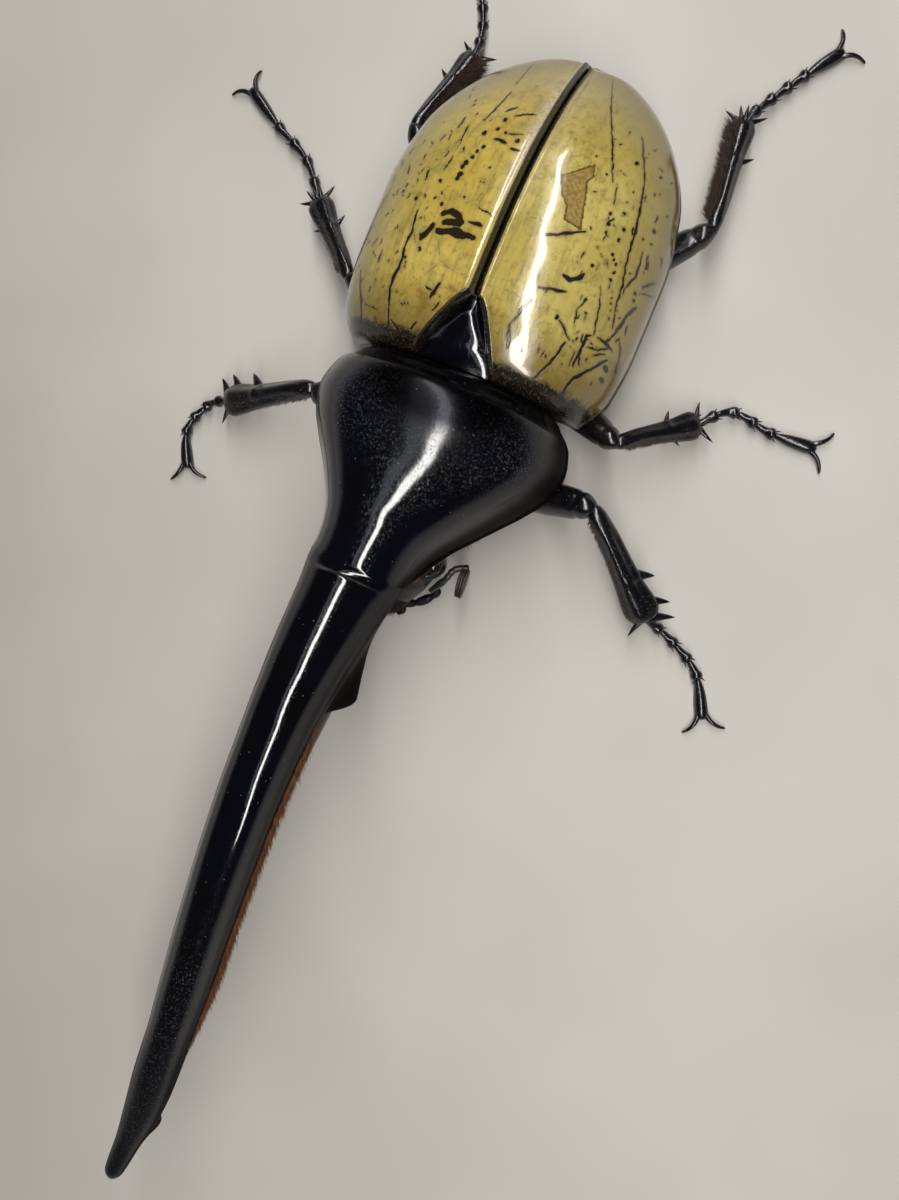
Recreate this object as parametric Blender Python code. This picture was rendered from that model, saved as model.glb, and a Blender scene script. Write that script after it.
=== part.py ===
"""Hercules beetle, adult male, as a still life-size model resting on its six feet.

Metres, +Z up. The head and horns point to -Y, the wing cases to +Y, and the beetle's left is +X.
The origin is on the floor under the middle of the whole beetle's box.
"""
import math

import bmesh
import bpy
from mathutils import Matrix, Vector

MM = 0.001
GAP = 0.3 * MM
SLIVER = 0.001 * MM

# Wing cases, measured back from the joint with the pronotum
ELYTRA_LENGTH = 48.7 * MM
ELYTRA_HALF_WIDTH = 21.2 * MM
ELYTRA_PLAN = (
    (0.0, 0.84), (0.1, 0.965), (0.25, 1.0), (0.45, 1.0),
    (0.65, 0.935), (0.82, 0.74), (0.93, 0.48), (1.0, 0.0),
)
ELYTRA_MARGIN = 10.6 * MM
ELYTRA_BASE_TOP = 23.2 * MM
ELYTRA_HIGHEST = 25.2 * MM
ELYTRA_END_TOP = 12.4 * MM
ELYTRA_CREST_AT = 15.0 * MM
ELYTRA_LIP = 1.1 * MM
ELYTRA_SHOULDER = 3.0 * MM
DOME_POWER = 2.3
SCUTELLUM_HALF_WIDTH = 5.1 * MM
SCUTELLUM_LENGTH = 9.4 * MM

# Pronotum, measured forward from the same joint: place, half width, top, side margin, floor
PRONOTUM_SECTIONS = (
    (0.3, 14.6, 22.6, 12.0, 7.0),
    (1.6, 15.9, 24.2, 11.9, 5.8),
    (4.0, 17.8, 25.8, 11.9, 5.0),
    (7.4, 18.6, 27.0, 12.0, 4.6),
    (11.0, 17.7, 27.9, 12.4, 4.6),
    (14.5, 15.5, 28.7, 13.2, 4.9),
    (18.0, 12.7, 29.6, 14.6, 5.6),
    (20.5, 10.8, 30.2, 16.2, 8.6),
    (23.0, 9.0, 30.9, 18.4, 13.4),
    (25.5, 7.8, 31.4, 21.2, 17.2),
    (27.8, 7.1, 31.8, 24.0, 19.8),
    (29.5, 6.7, 32.1, 26.6, 21.3),
)

# Horns, measured forward from the joint: place, half width, half height, height of the middle
THORACIC_HORN = (
    (29.8, 6.7, 5.4, 26.7),
    (34.0, 6.0, 5.2, 28.7),
    (39.0, 5.3, 5.0, 30.8),
    (44.0, 4.7, 4.9, 32.4),
    (50.0, 4.2, 4.7, 33.6),
    (57.0, 3.95, 4.5, 33.8),
    (64.0, 3.8, 4.3, 33.2),
    (72.0, 3.65, 4.1, 31.9),
    (80.0, 3.5, 3.85, 30.2),
    (88.0, 3.3, 3.6, 28.3),
    (96.0, 2.95, 3.2, 26.7),
    (103.0, 2.5, 2.75, 25.6),
    (109.0, 2.0, 2.3, 24.5),
    (114.0, 1.45, 1.75, 23.8),
    (118.4, 1.1, 1.25, 23.4),
    (120.2, 0.75, 0.8, 23.3),
)
THORACIC_TIP = (120.7, 23.3)
HORN_TOOTH_ROOT = 36.5
HORN_TOOTH_TIP = (7.1, -45.4, 27.4)
HORN_TOOTH_RADIUS = 4.3
HORN_KNOB_AT = 111.0
CEPHALIC_HORN = (
    (32.4, 3.0, 3.0, 12.4),
    (36.0, 2.7, 3.0, 14.8),
    (41.0, 2.4, 2.8, 17.0),
    (47.0, 2.2, 2.6, 18.8),
    (53.0, 2.0, 2.4, 20.4),
    (59.0, 1.8, 2.2, 21.8),
    (65.0, 1.6, 1.9, 23.2),
    (70.0, 1.2, 1.5, 24.6),
    (73.4, 0.8, 1.0, 25.7),
)
CEPHALIC_TIP = (75.0, 26.4)
CEPHALIC_TEETH = ((50.0, 2.6), (62.5, 1.7))

# Head, measured forward: place, half width, top, middle, bottom
HEAD_SECTIONS = (
    (20.8, 4.4, 7.9, 6.6, 5.2),
    (22.4, 5.6, 10.9, 8.0, 4.9),
    (24.4, 6.4, 14.0, 9.4, 4.8),
    (26.6, 6.6, 16.2, 10.2, 5.0),
    (28.8, 6.1, 16.8, 10.6, 5.4),
    (30.6, 5.2, 16.2, 10.6, 6.0),
    (32.0, 4.4, 15.4, 10.6, 6.7),
)
CLYPEUS_SECTIONS = (
    (32.3, 3.8, 9.2, 5.9), (33.2, 3.5, 8.8, 6.0), (34.2, 2.7, 8.2, 6.2), (34.8, 1.8, 7.7, 6.5),
)
PALP_PATH = ((2.4, -32.6, 6.7), (4.6, -31.9, 6.1), (6.6, -30.0, 6.3), (7.2, -28.6, 6.9))
ANTENNA_PATH = ((6.75, -29.2, 10.0), (8.3, -27.0, 11.2), (9.2, -25.0, 11.7), (11.0, -24.0, 11.4))
EYE_RADIUS = 2.1 * MM
EYE_CENTRE = (5.9 * MM, -25.4 * MM, 11.4 * MM)

# Underside, measured back from the joint: place, half width, bottom
THORAX_SECTIONS = (
    (0.3, 13.4, 6.0), (3.0, 15.6, 4.6), (8.0, 17.0, 3.9), (14.0, 17.6, 3.7), (19.0, 17.7, 3.9), (23.0, 17.6, 4.3),
)
BELLY_TOP = 9.1
ABDOMEN_START = 23.4
ABDOMEN_END = 45.4
ABDOMEN_PLATES = 6
COXA_RADIUS = 2.6 * MM

# Legs: where each joint of the beetle's legs stands in the body's own place
LEGS = {
    "front_left": {
        "coxa": (5.6, -11.0, 4.9), "knee": (24.1, -9.7, 12.5), "ankle": (37.1, -21.2, 4.2),
        "foot": ((41.0, -22.4, 2.0), (46.6, -25.6, 1.2), (50.2, -31.6, 0.62)),
    },
    "front_right": {
        "coxa": (-5.6, -11.0, 4.9), "knee": (-20.4, -8.2, 12.5), "ankle": (-36.4, -14.0, 4.2),
        "foot": ((-40.2, -15.6, 2.0), (-42.6, -20.6, 1.2), (-40.4, -26.4, 0.62)),
    },
    "middle_left": {
        "coxa": (5.6, 7.6, 4.0), "knee": (23.4, 0.2, 9.8), "ankle": (33.1, 8.2, 3.8),
        "foot": ((36.9, 11.8, 2.0), (43.2, 11.0, 1.2), (50.0, 11.2, 0.62)),
    },
    "middle_right": {
        "coxa": (-5.6, 7.6, 4.0), "knee": (-23.4, 9.6, 8.5), "ankle": (-34.7, 20.6, 3.8),
        "foot": ((-40.0, 26.4, 2.0), (-47.2, 30.4, 1.2), (-54.2, 34.8, 0.62)),
    },
    "hind_left": {
        "coxa": (6.4, 18.0, 4.0), "knee": (24.4, 33.2, 8.4), "ankle": (22.3, 51.6, 3.8),
        "foot": ((24.8, 56.8, 2.0), (28.2, 62.2, 1.2), (31.6, 66.8, 0.62)),
    },
    "hind_right": {
        "coxa": (-6.4, 18.0, 4.0), "knee": (-22.6, 33.8, 8.4), "ankle": (-19.5, 49.1, 3.8),
        "foot": ((-20.9, 54.6, 2.0), (-23.8, 60.6, 1.2), (-26.4, 66.2, 0.62)),
    },
}
FEMUR_RADIUS = {"front": 2.8 * MM, "middle": 2.55 * MM, "hind": 2.5 * MM}
FEMUR_SAG = 0.085
FEMUR_PLAN = ((0.0, 0.6), (0.1, 0.8), (0.32, 1.0), (0.6, 1.0), (0.82, 0.88), (0.95, 0.72), (1.03, 0.42))
TIBIA_WIDTH = {"front": 2.1 * MM, "middle": 1.7 * MM, "hind": 1.6 * MM}
TIBIA_PLAN = (
    (-0.02, 0.42, 0.5), (0.06, 0.62, 0.8), (0.35, 0.72, 0.85), (0.65, 0.86, 0.85), (0.9, 1.08, 0.9),
    (1.0, 0.95, 0.75),
)
# Teeth of a shin: share of its length, side, reach and radius in millimetres
FRONT_TEETH = ((0.6, 1.0, 2.5, 1.2), (0.83, 1.0, 3.0, 1.1), (0.98, 1.0, 2.6, 0.9), (0.97, -1.0, 2.2, 0.6))
OTHER_TEETH = ((0.6, 1.0, 1.9, 0.7), (0.97, 1.0, 2.2, 0.6), (0.97, -1.0, 2.2, 0.6), (0.62, -0.6, 1.4, 0.5))
SPINE_TURNS = (0.3, 0.5, 0.7, 1.5)
TARSUS_SHARES = (0.0, 0.19, 0.36, 0.52, 0.68, 1.0)
TARSUS_RADIUS = 0.72 * MM
CLAW_LENGTH = 4.0 * MM
CLAW_RADIUS = 0.38 * MM
SIDES = {"dome": 15, "body": 28, "horn": 18, "limb": 10, "thin": 8}

COLOURS = {
    "elytra": ((0.45, 0.34, 0.09), 0.22),
    "black": ((0.005, 0.005, 0.007), 0.16),
    "underside": ((0.012, 0.009, 0.008), 0.3),
    "leg": ((0.009, 0.009, 0.010), 0.25),
    "eye": ((0.02, 0.014, 0.01), 0.1),
    "antenna": ((0.02, 0.015, 0.013), 0.35),
}


def remove_old_objects():
    for old in list(bpy.data.objects):
        bpy.data.objects.remove(old, do_unlink=True)


def new_collection(name):
    collection = bpy.data.collections.new(name)
    bpy.context.scene.collection.children.link(collection)
    return collection


def finish(name, kind):
    """One Principled material for each object, named after it."""
    colour, roughness = COLOURS[kind]
    material = bpy.data.materials.new(name + "_material")
    material.use_nodes = True
    shader = material.node_tree.nodes["Principled BSDF"]
    shader.inputs["Base Color"].default_value = (*colour, 1.0)
    shader.inputs["Roughness"].default_value = roughness
    shader.inputs["Metallic"].default_value = 0.0
    return material


def smooth_between(knots, place):
    """Monotone cubic through (place, value...) knots, returning the values at one place."""
    count = len(knots)
    if place <= knots[0][0]:
        return list(knots[0][1:])
    if place >= knots[-1][0]:
        return list(knots[-1][1:])
    right = next(index for index in range(count) if knots[index][0] >= place)
    left = right - 1
    width = knots[right][0] - knots[left][0]
    t = (place - knots[left][0]) / width
    values = []
    for column in range(1, len(knots[0])):

        def slope(index):
            if index <= 0 or index >= count - 1:
                near = 1 if index <= 0 else count - 1
                return (knots[near][column] - knots[near - 1][column]) / (knots[near][0] - knots[near - 1][0])
            before = (knots[index][column] - knots[index - 1][column]) / (knots[index][0] - knots[index - 1][0])
            after = (knots[index + 1][column] - knots[index][column]) / (knots[index + 1][0] - knots[index][0])
            if before * after <= 0.0:
                return 0.0
            return 2.0 * before * after / (before + after)

        low = knots[left][column]
        high = knots[right][column]
        values.append(
            low * (2 * t**3 - 3 * t**2 + 1)
            + high * (3 * t**2 - 2 * t**3)
            + slope(left) * width * (t**3 - 2 * t**2 + t)
            + slope(right) * width * (t**3 - t**2)
        )
    return values


def signed_power(value, power):
    return math.copysign(abs(value) ** power, value)


def mesh_object(name, bm, kind, collection):
    """Closed mesh from a bmesh, faces pointing out, shaded smooth away from its edges."""
    bmesh.ops.remove_doubles(bm, verts=bm.verts, dist=0.00001)
    bmesh.ops.recalc_face_normals(bm, faces=bm.faces)
    mesh = bpy.data.meshes.new(name)
    bm.to_mesh(mesh)
    bm.free()
    mesh.shade_smooth()
    mesh.set_sharp_from_angle(angle=math.radians(45))
    mesh.materials.append(finish(name, kind))
    piece = bpy.data.objects.new(name, mesh)
    collection.objects.link(piece)
    return piece


def loft(name, rings, kind, collection, first_point=None, last_point=None):
    """Skin over rings of equal count; each end is a flat cap, or a fan to one point."""
    bm = bmesh.new()
    loops = [[bm.verts.new(point) for point in ring] for ring in rings]
    count = len(loops[0])
    for near, far in zip(loops, loops[1:]):
        for index in range(count):
            following = (index + 1) % count
            bm.faces.new((near[index], near[following], far[following], far[index]))
    for loop, point in ((loops[0], first_point), (loops[-1], last_point)):
        if point is None:
            centre = bm.verts.new(sum((vert.co for vert in loop), Vector()) / count)
        else:
            centre = bm.verts.new(point)
        for index in range(count):
            bm.faces.new((loop[index], loop[(index + 1) % count], centre))
    return mesh_object(name, bm, kind, collection)


def oval_ring(centre, across, up, half_width, half_height, sides, power=2.0):
    ring = []
    for index in range(sides):
        angle = 2 * math.pi * index / sides
        sideways = signed_power(math.cos(angle), 2 / power) * half_width
        upward = signed_power(math.sin(angle), 2 / power) * half_height
        ring.append(Vector(centre) + across * sideways + up * upward)
    return ring


def path_frames(points):
    """Direction, across and up at each point of a path, with up kept as near +Z as it can be."""
    frames = []
    for index in range(len(points)):
        before = points[max(index - 1, 0)]
        after = points[min(index + 1, len(points) - 1)]
        along = (after - before).normalized()
        across = along.cross(Vector((0, 0, 1))).normalized()
        frames.append((along, across, across.cross(along).normalized()))
    return frames


def smooth_path(points, steps):
    """Points along a Catmull-Rom curve through a few places."""
    ends = [points[0] * 2 - points[1]] + list(points) + [points[-1] * 2 - points[-2]]
    path = []
    for index in range(1, len(ends) - 2):
        a, b, c, d = ends[index - 1:index + 3]
        for step in range(steps):
            t = step / steps
            path.append(
                0.5 * (2 * b + (c - a) * t + (2 * a - 5 * b + 4 * c - d) * t**2 + (3 * b - a - 3 * c + d) * t**3)
            )
    path.append(points[-1].copy())
    return path


def tapered_tube(name, points, radii, kind, collection):
    """A curve with a round bevel and a radius for each point, made a closed mesh."""
    curve = bpy.data.curves.new(name, "CURVE")
    curve.dimensions = "3D"
    curve.bevel_depth = 1.0
    curve.bevel_resolution = 1
    curve.use_fill_caps = True
    spline = curve.splines.new("POLY")
    spline.points.add(len(points) - 1)
    for target, point, radius in zip(spline.points, points, radii):
        target.co = (*point, 1.0)
        target.radius = radius
    drawn = bpy.data.objects.new(name + "_curve", curve)
    collection.objects.link(drawn)
    bpy.context.view_layer.update()
    mesh = bpy.data.meshes.new_from_object(drawn.evaluated_get(bpy.context.evaluated_depsgraph_get()))
    bm = bmesh.new()
    bm.from_mesh(mesh)
    bpy.data.objects.remove(drawn, do_unlink=True)
    return mesh_object(name, bm, kind, collection)


def spike(name, root, tip, radius, kind, collection, sides=5):
    """A pointed cone from its sunk root to its tip."""
    along = tip - root
    bm = bmesh.new()
    bmesh.ops.create_cone(
        bm, cap_ends=True, segments=sides, radius1=radius, radius2=radius * 0.12, depth=along.length
    )
    turn = Vector((0, 0, 1)).rotation_difference(along.normalized()).to_matrix().to_4x4()
    bmesh.ops.transform(bm, matrix=Matrix.Translation((root + tip) / 2) @ turn, verts=bm.verts)
    return mesh_object(name, bm, kind, collection)


def apply_modifiers(piece):
    bpy.context.view_layer.update()
    evaluated = piece.evaluated_get(bpy.context.evaluated_depsgraph_get())
    mesh = bpy.data.meshes.new_from_object(evaluated)
    piece.modifiers.clear()
    piece.data = mesh


def keep_largest_surface(piece):
    """Drop anything that fusing or cutting left loose."""
    bm = bmesh.new()
    bm.from_mesh(piece.data)
    unseen = set(bm.verts)
    groups = []
    while unseen:
        stack = [unseen.pop()]
        group = set(stack)
        while stack:
            for edge in stack.pop().link_edges:
                for vert in edge.verts:
                    if vert in unseen:
                        unseen.discard(vert)
                        group.add(vert)
                        stack.append(vert)
        groups.append(group)
    largest = max(groups, key=len)
    loose = [vert for vert in bm.verts if vert not in largest]
    bmesh.ops.delete(bm, geom=loose, context="VERTS")
    bmesh.ops.remove_doubles(bm, verts=bm.verts, dist=SLIVER)
    bmesh.ops.dissolve_degenerate(bm, dist=SLIVER, edges=bm.edges)
    bm.to_mesh(piece.data)
    bm.free()


def fuse(piece, additions, collection):
    """One Boolean union of closed meshes into the piece."""
    if not additions:
        return piece
    for extra in additions:
        collection.objects.unlink(extra)
    group = bpy.data.collections.new(piece.name + "_additions")
    bpy.context.scene.collection.children.link(group)
    for extra in additions:
        group.objects.link(extra)
    union = piece.modifiers.new("fuse", "BOOLEAN")
    union.operation = "UNION"
    union.solver = "EXACT"
    union.operand_type = "COLLECTION"
    union.collection = group
    union.use_self = True
    apply_modifiers(piece)
    for extra in additions:
        bpy.data.objects.remove(extra, do_unlink=True)
    bpy.data.collections.remove(group)
    keep_largest_surface(piece)
    return piece


def cut(piece, cutter, cutters):
    """Boolean difference with one closed cutter, which stays as a hidden guide."""
    for holder in list(cutter.users_collection):
        holder.objects.unlink(cutter)
    cutters.objects.link(cutter)
    cutter.hide_render = True
    cutter.display_type = "WIRE"
    difference = piece.modifiers.new("cut", "BOOLEAN")
    difference.operation = "DIFFERENCE"
    difference.solver = "EXACT"
    difference.object = cutter
    apply_modifiers(piece)
    keep_largest_surface(piece)
    return piece


# Wing cases

def elytra_half_width(place):
    """Half width of the closed wing cases; the end is round, so it follows the root of the distance."""
    share = max(0.0, min(1.0, place / ELYTRA_LENGTH))
    knots = tuple((math.sqrt(1 - at), value) for at, value in reversed(ELYTRA_PLAN))
    return smooth_between(knots, math.sqrt(1 - share))[0] * ELYTRA_HALF_WIDTH


def elytra_top(place):
    if place < ELYTRA_CREST_AT:
        share = (ELYTRA_CREST_AT - place) / ELYTRA_CREST_AT
        return ELYTRA_HIGHEST - (ELYTRA_HIGHEST - ELYTRA_BASE_TOP) * share**2
    share = min(1.0, (place - ELYTRA_CREST_AT) / (ELYTRA_LENGTH - ELYTRA_CREST_AT))
    return ELYTRA_HIGHEST - (ELYTRA_HIGHEST - ELYTRA_END_TOP) * share**2.2


def elytron_ring(place, side):
    """Half dome from the seam over to the margin, with a thin lip folded under."""
    rounding = 1.0
    if place < ELYTRA_SHOULDER:
        rounding = 0.8 + 0.2 * math.sqrt(1 - ((ELYTRA_SHOULDER - place) / ELYTRA_SHOULDER) ** 2)
    half_width = elytra_half_width(place) * (0.88 + 0.12 * rounding)
    margin = ELYTRA_MARGIN
    top = margin + (elytra_top(place) - margin) * rounding
    seam = GAP / 2
    span = max(half_width - seam, 0.4 * MM)
    ring = []
    for index in range(SIDES["dome"] + 1):
        angle = math.pi / 2 * (1 - index / SIDES["dome"])
        across = seam + span * math.cos(angle) ** (2 / DOME_POWER)
        ring.append((side * across, place, margin + (top - margin) * math.sin(angle) ** (2 / DOME_POWER)))
    lip = min(ELYTRA_LIP, span * 0.5)
    ring.append((side * (seam + span - lip * 0.5), place, margin - lip))
    ring.append((side * (seam + (span - lip) * 0.5), place, margin - lip * 0.8))
    ring.append((side * seam, place, margin - lip * 0.8))
    return ring


def make_elytra(collection, cutters):
    stations = 20
    last = ELYTRA_LENGTH - 0.15 * MM
    for side, name in ((1, "elytron_left"), (-1, "elytron_right")):
        rings = []
        for index in range(stations):
            share = (1 - math.cos(math.pi * index / (stations - 1))) / 2
            rings.append(elytron_ring(GAP / 2 + (last - GAP / 2) * share, side))
        elytron = loft(name, rings, "elytra", collection)
        cut(elytron, scutellum_block(name + "_notch", GAP, cutters), cutters)


def scutellum_block(name, clearance, collection):
    """Rounded triangle between the wing cases; with a clearance it is the cutter of their notch."""
    steps = 8
    first = GAP / 2 if clearance == 0 else -1.0 * MM
    last = SCUTELLUM_LENGTH + clearance * 2
    rings = []
    for index in range(steps + 1):
        place = first + (last - first) * index / steps
        half = SCUTELLUM_HALF_WIDTH * max(0.0, 1 - place / SCUTELLUM_LENGTH) ** 0.8 + 0.15 * MM + clearance * 1.4
        top = elytra_top(max(place, 0.0)) - 1.3 * MM
        floor = ELYTRA_MARGIN - 0.7 * MM
        if clearance > 0:
            top = ELYTRA_HIGHEST + 2 * MM
            floor = ELYTRA_MARGIN - 4 * MM
        ring = [(half, place, floor), (half, place, top - 0.5 * MM), (half * 0.5, place, top - 0.12 * MM),
                (0.0, place, top), (-half * 0.5, place, top - 0.12 * MM), (-half, place, top - 0.5 * MM),
                (-half, place, floor)]
        rings.append([Vector(point) for point in ring])
    return loft(name, rings, "black", collection)


# Pronotum and horns

def pronotum_ring(place, half_width, top, margin, floor):
    ring = []
    sides = SIDES["body"]
    for index in range(sides):
        angle = 2 * math.pi * index / sides
        sideways = signed_power(math.cos(angle), 2 / 2.1) * half_width
        if math.sin(angle) >= 0:
            height = margin + (top - margin) * math.sin(angle) ** (2 / 2.05)
        else:
            height = margin - (margin - floor) * (-math.sin(angle)) ** 1.7
        ring.append((sideways * MM, -place * MM, height * MM))
    return ring


def make_pronotum(collection):
    rings = [pronotum_ring(*section) for section in PRONOTUM_SECTIONS]
    pronotum = loft("pronotum", rings, "black", collection)
    sockets = [coxa_socket(LEGS[name], collection) for name in LEGS if name.startswith("front")]
    return fuse(pronotum, sockets, collection)


def coxa_socket(leg, collection):
    """Rounded hip on the underside, which a thigh is set into."""
    return ball("socket", Vector(leg["coxa"]) * MM, COXA_RADIUS, "underside", collection, 14, 8, (1.5, 1.0, 0.85))


def horn_rings(sections, sides, power):
    middles = [Vector((0, -place, height)) * MM for place, _, _, height in sections]
    rings = []
    for index, (along, across, up) in enumerate(path_frames(middles)):
        half_width = sections[index][1] * MM
        half_height = sections[index][2] * MM
        if index == 0:
            up = Vector((0, 0, 1))
        rings.append(oval_ring(middles[index], across, up, half_width, half_height, sides, power))
    return rings


def horn_spot(sections, place):
    """Middle, half width and half height of a horn at one place along it."""
    half_width, half_height, height = smooth_between(sections, place)
    return Vector((0, -place, height)) * MM, half_width * MM, half_height * MM


def make_thoracic_horn(collection):
    rings = horn_rings(THORACIC_HORN, SIDES["horn"], 2.1)
    tip = Vector((0, -THORACIC_TIP[0], THORACIC_TIP[1])) * MM
    horn = loft("thoracic_horn", rings, "black", collection, last_point=tip)
    additions = []
    for side in (1, -1):
        middle, half_width, half_height = horn_spot(THORACIC_HORN, HORN_TOOTH_ROOT)
        root = middle + Vector((side * half_width * 0.3, 0, -half_height * 0.2))
        point = Vector((side * HORN_TOOTH_TIP[0], HORN_TOOTH_TIP[1], HORN_TOOTH_TIP[2])) * MM
        additions.append(spike("horn_tooth", root, point, HORN_TOOTH_RADIUS * MM, "black", collection, sides=12))
    middle, half_width, half_height = horn_spot(THORACIC_HORN, HORN_KNOB_AT)
    root = middle - Vector((0, 0, half_height * 0.3))
    point = middle - Vector((0, 1.6 * MM, half_height + 1.1 * MM))
    additions.append(spike("horn_knob", root, point, 1.4 * MM, "black", collection, sides=6))
    return fuse(horn, additions, collection)


def make_cephalic_horn(collection):
    rings = horn_rings(CEPHALIC_HORN, 14, 2.0)
    first = rings[0]
    flat = -CEPHALIC_HORN[0][0] * MM
    rings[0] = [Vector((point.x, flat, point.z)) for point in first]
    tip = Vector((0, -CEPHALIC_TIP[0], CEPHALIC_TIP[1])) * MM
    horn = loft("cephalic_horn", rings, "black", collection, last_point=tip)
    additions = []
    for place, reach in CEPHALIC_TEETH:
        middle, half_width, half_height = horn_spot(CEPHALIC_HORN, place)
        root = middle + Vector((0, 0, half_height * 0.2))
        point = middle + Vector((0, -1.2 * MM, half_height + reach * MM))
        additions.append(spike("cephalic_tooth", root, point, half_width * 0.85, "black", collection, sides=6))
    return fuse(horn, additions, collection)


# Head with its eyes, feelers and mouthparts

def make_head(collection, cutters):
    rings = []
    sides = 20
    for place, half_width, top, middle, bottom in HEAD_SECTIONS:
        ring = []
        for index in range(sides):
            angle = 2 * math.pi * index / sides
            height = top - middle if math.sin(angle) >= 0 else middle - bottom
            ring.append((
                signed_power(math.cos(angle), 0.95) * half_width * MM,
                -place * MM,
                (middle + math.sin(angle) * height) * MM,
            ))
        rings.append(ring)
    head = loft("head", rings, "black", collection)
    for side, name in ((1, "eye_left"), (-1, "eye_right")):
        centre = Vector((side * EYE_CENTRE[0], EYE_CENTRE[1], EYE_CENTRE[2]))
        socket = ball(name + "_socket", centre, EYE_RADIUS + GAP, "black", cutters, 16, 10)
        cut(head, socket, cutters)
        ball(name, centre, EYE_RADIUS, "eye", collection, 16, 10)
    return head


def ball(name, centre, radius, kind, collection, around, rows, stretch=(1, 1, 1)):
    bm = bmesh.new()
    bmesh.ops.create_uvsphere(bm, u_segments=around, v_segments=rows, radius=radius)
    bmesh.ops.scale(bm, vec=Vector(stretch), verts=bm.verts)
    bmesh.ops.translate(bm, vec=centre, verts=bm.verts)
    return mesh_object(name, bm, kind, collection)


def make_mouthparts(collection):
    """Clypeus block in front of the head, under the horn, with a pair of palps."""
    rings = []
    for place, half_width, top, bottom in CLYPEUS_SECTIONS:
        centre = Vector((0, -place, (top + bottom) / 2)) * MM
        rings.append(oval_ring(centre, Vector((1, 0, 0)), Vector((0, 0, 1)), half_width * MM,
                               (top - bottom) / 2 * MM, 14, 2.6))
    clypeus = loft("clypeus", rings, "black", collection)
    additions = []
    for side in (1, -1):
        stem = smooth_path([Vector((side * x, y, z)) * MM for x, y, z in PALP_PATH], 3)
        radii = [0.55 * MM + 0.2 * MM * math.sin(index * math.pi / 4) ** 2 for index in range(len(stem))]
        additions.append(tapered_tube("palp", stem, radii, "black", collection))
    return fuse(clypeus, additions, collection)


def make_antenna(name, side, collection):
    """Long first joint, a chain of small joints and a three-leaved club."""
    stem = smooth_path([Vector((side * x, y, z)) * MM for x, y, z in ANTENNA_PATH], 5)
    radii = []
    for index in range(len(stem)):
        share = index / (len(stem) - 1)
        radii.append((0.62 if share < 0.45 else 0.46 + 0.1 * (index % 2)) * MM)
    antenna = tapered_tube(name, stem, radii, "antenna", collection)
    leaves = []
    for shift in (-0.62, 0.0, 0.62):
        root = stem[-1] + Vector((side * (shift - 0.1), 0.55, 0)) * MM
        end = root + Vector((side * (0.9 + shift * 0.5), -4.9, -0.3)) * MM
        along = (end - root).normalized()
        across = along.cross(Vector((0, 0, 1))).normalized()
        up = across.cross(along)
        rings = []
        for share, size in ((0.0, 0.35), (0.2, 0.85), (0.55, 1.0), (0.85, 0.8), (1.0, 0.35)):
            centre = root.lerp(end, share)
            rings.append(oval_ring(centre, across, up, 0.4 * MM * size, 1.0 * MM * size, 8))
        leaves.append(loft(name + "_leaf", rings, "antenna", collection))
    return fuse(antenna, leaves, collection)


# Underside

def make_thorax(collection):
    """Breast plates under the front of the wing cases, with the sockets of four legs."""
    rings = [belly_ring(*section) for section in THORAX_SECTIONS]
    thorax = loft("thorax", rings, "underside", collection)
    sockets = [coxa_socket(LEGS[name], collection) for name in LEGS if not name.startswith("front")]
    return fuse(thorax, sockets, collection)


def belly_ring(place, half_width, bottom):
    """Flat above, where the wing cases close it, and rounded below."""
    ring = []
    steps = 16
    edge = BELLY_TOP - 0.6
    for index in range(steps + 1):
        angle = math.pi * index / steps
        height = edge - (edge - bottom) * math.sin(angle) ** 0.8
        ring.append((math.cos(angle) * half_width * MM, place * MM, height * MM))
    for across in (-0.96, 0.0, 0.96):
        ring.append((across * half_width * MM, place * MM, BELLY_TOP * MM))
    return ring


def make_abdomen(collection):
    """Six belly rings stepped like tiles, closing at the tail plate."""
    rings = []
    length = ABDOMEN_END - ABDOMEN_START
    for plate in range(ABDOMEN_PLATES):
        near = ABDOMEN_START + length * plate / ABDOMEN_PLATES
        far = ABDOMEN_START + length * (plate + 1) / ABDOMEN_PLATES
        for place, step in ((near + 0.05, 0.0), (far - 0.45, -0.35)):
            share = (place - ABDOMEN_START) / length
            half_width = elytra_half_width(place * MM) / MM * (0.86 + 0.02 * share) - 0.9
            rings.append(belly_ring(place, half_width, 4.5 + step + 2.2 * share**3))
    return loft("abdomen", rings, "underside", collection)


# Legs

def limb_ring(centre, along, half_width, half_height, sides, power=2.0):
    across = along.cross(Vector((0, 0, 1))).normalized()
    up = across.cross(along).normalized()
    return oval_ring(centre, across, up, half_width, half_height, sides, power)


def limb_loft(name, places, along, shape, grow, collection):
    """Oval limb through places, with a half width and half height at each, swollen by grow for a cutter."""
    rings = []
    for place, (half_width, half_height) in zip(places, shape):
        rings.append(limb_ring(place, along, half_width + grow, half_height + grow, SIDES["limb"]))
    if grow:
        for ring, push in ((rings[0], -grow), (rings[-1], grow)):
            for point in ring:
                point += along * push
    return loft(name, rings, "leg", collection)


def femur_loft(name, leg, radius, grow, collection):
    coxa = Vector(leg["coxa"]) * MM
    span = Vector(leg["knee"]) * MM - coxa
    places = []
    shape = []
    for share, size in FEMUR_PLAN:
        sag = FEMUR_SAG * span.length * math.sin(math.pi * min(share, 1))
        places.append(coxa + span * share - Vector((0, 0, sag)))
        shape.append((radius * 0.92 * size, radius * size))
    return limb_loft(name, places, span.normalized(), shape, grow, collection)


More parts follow.
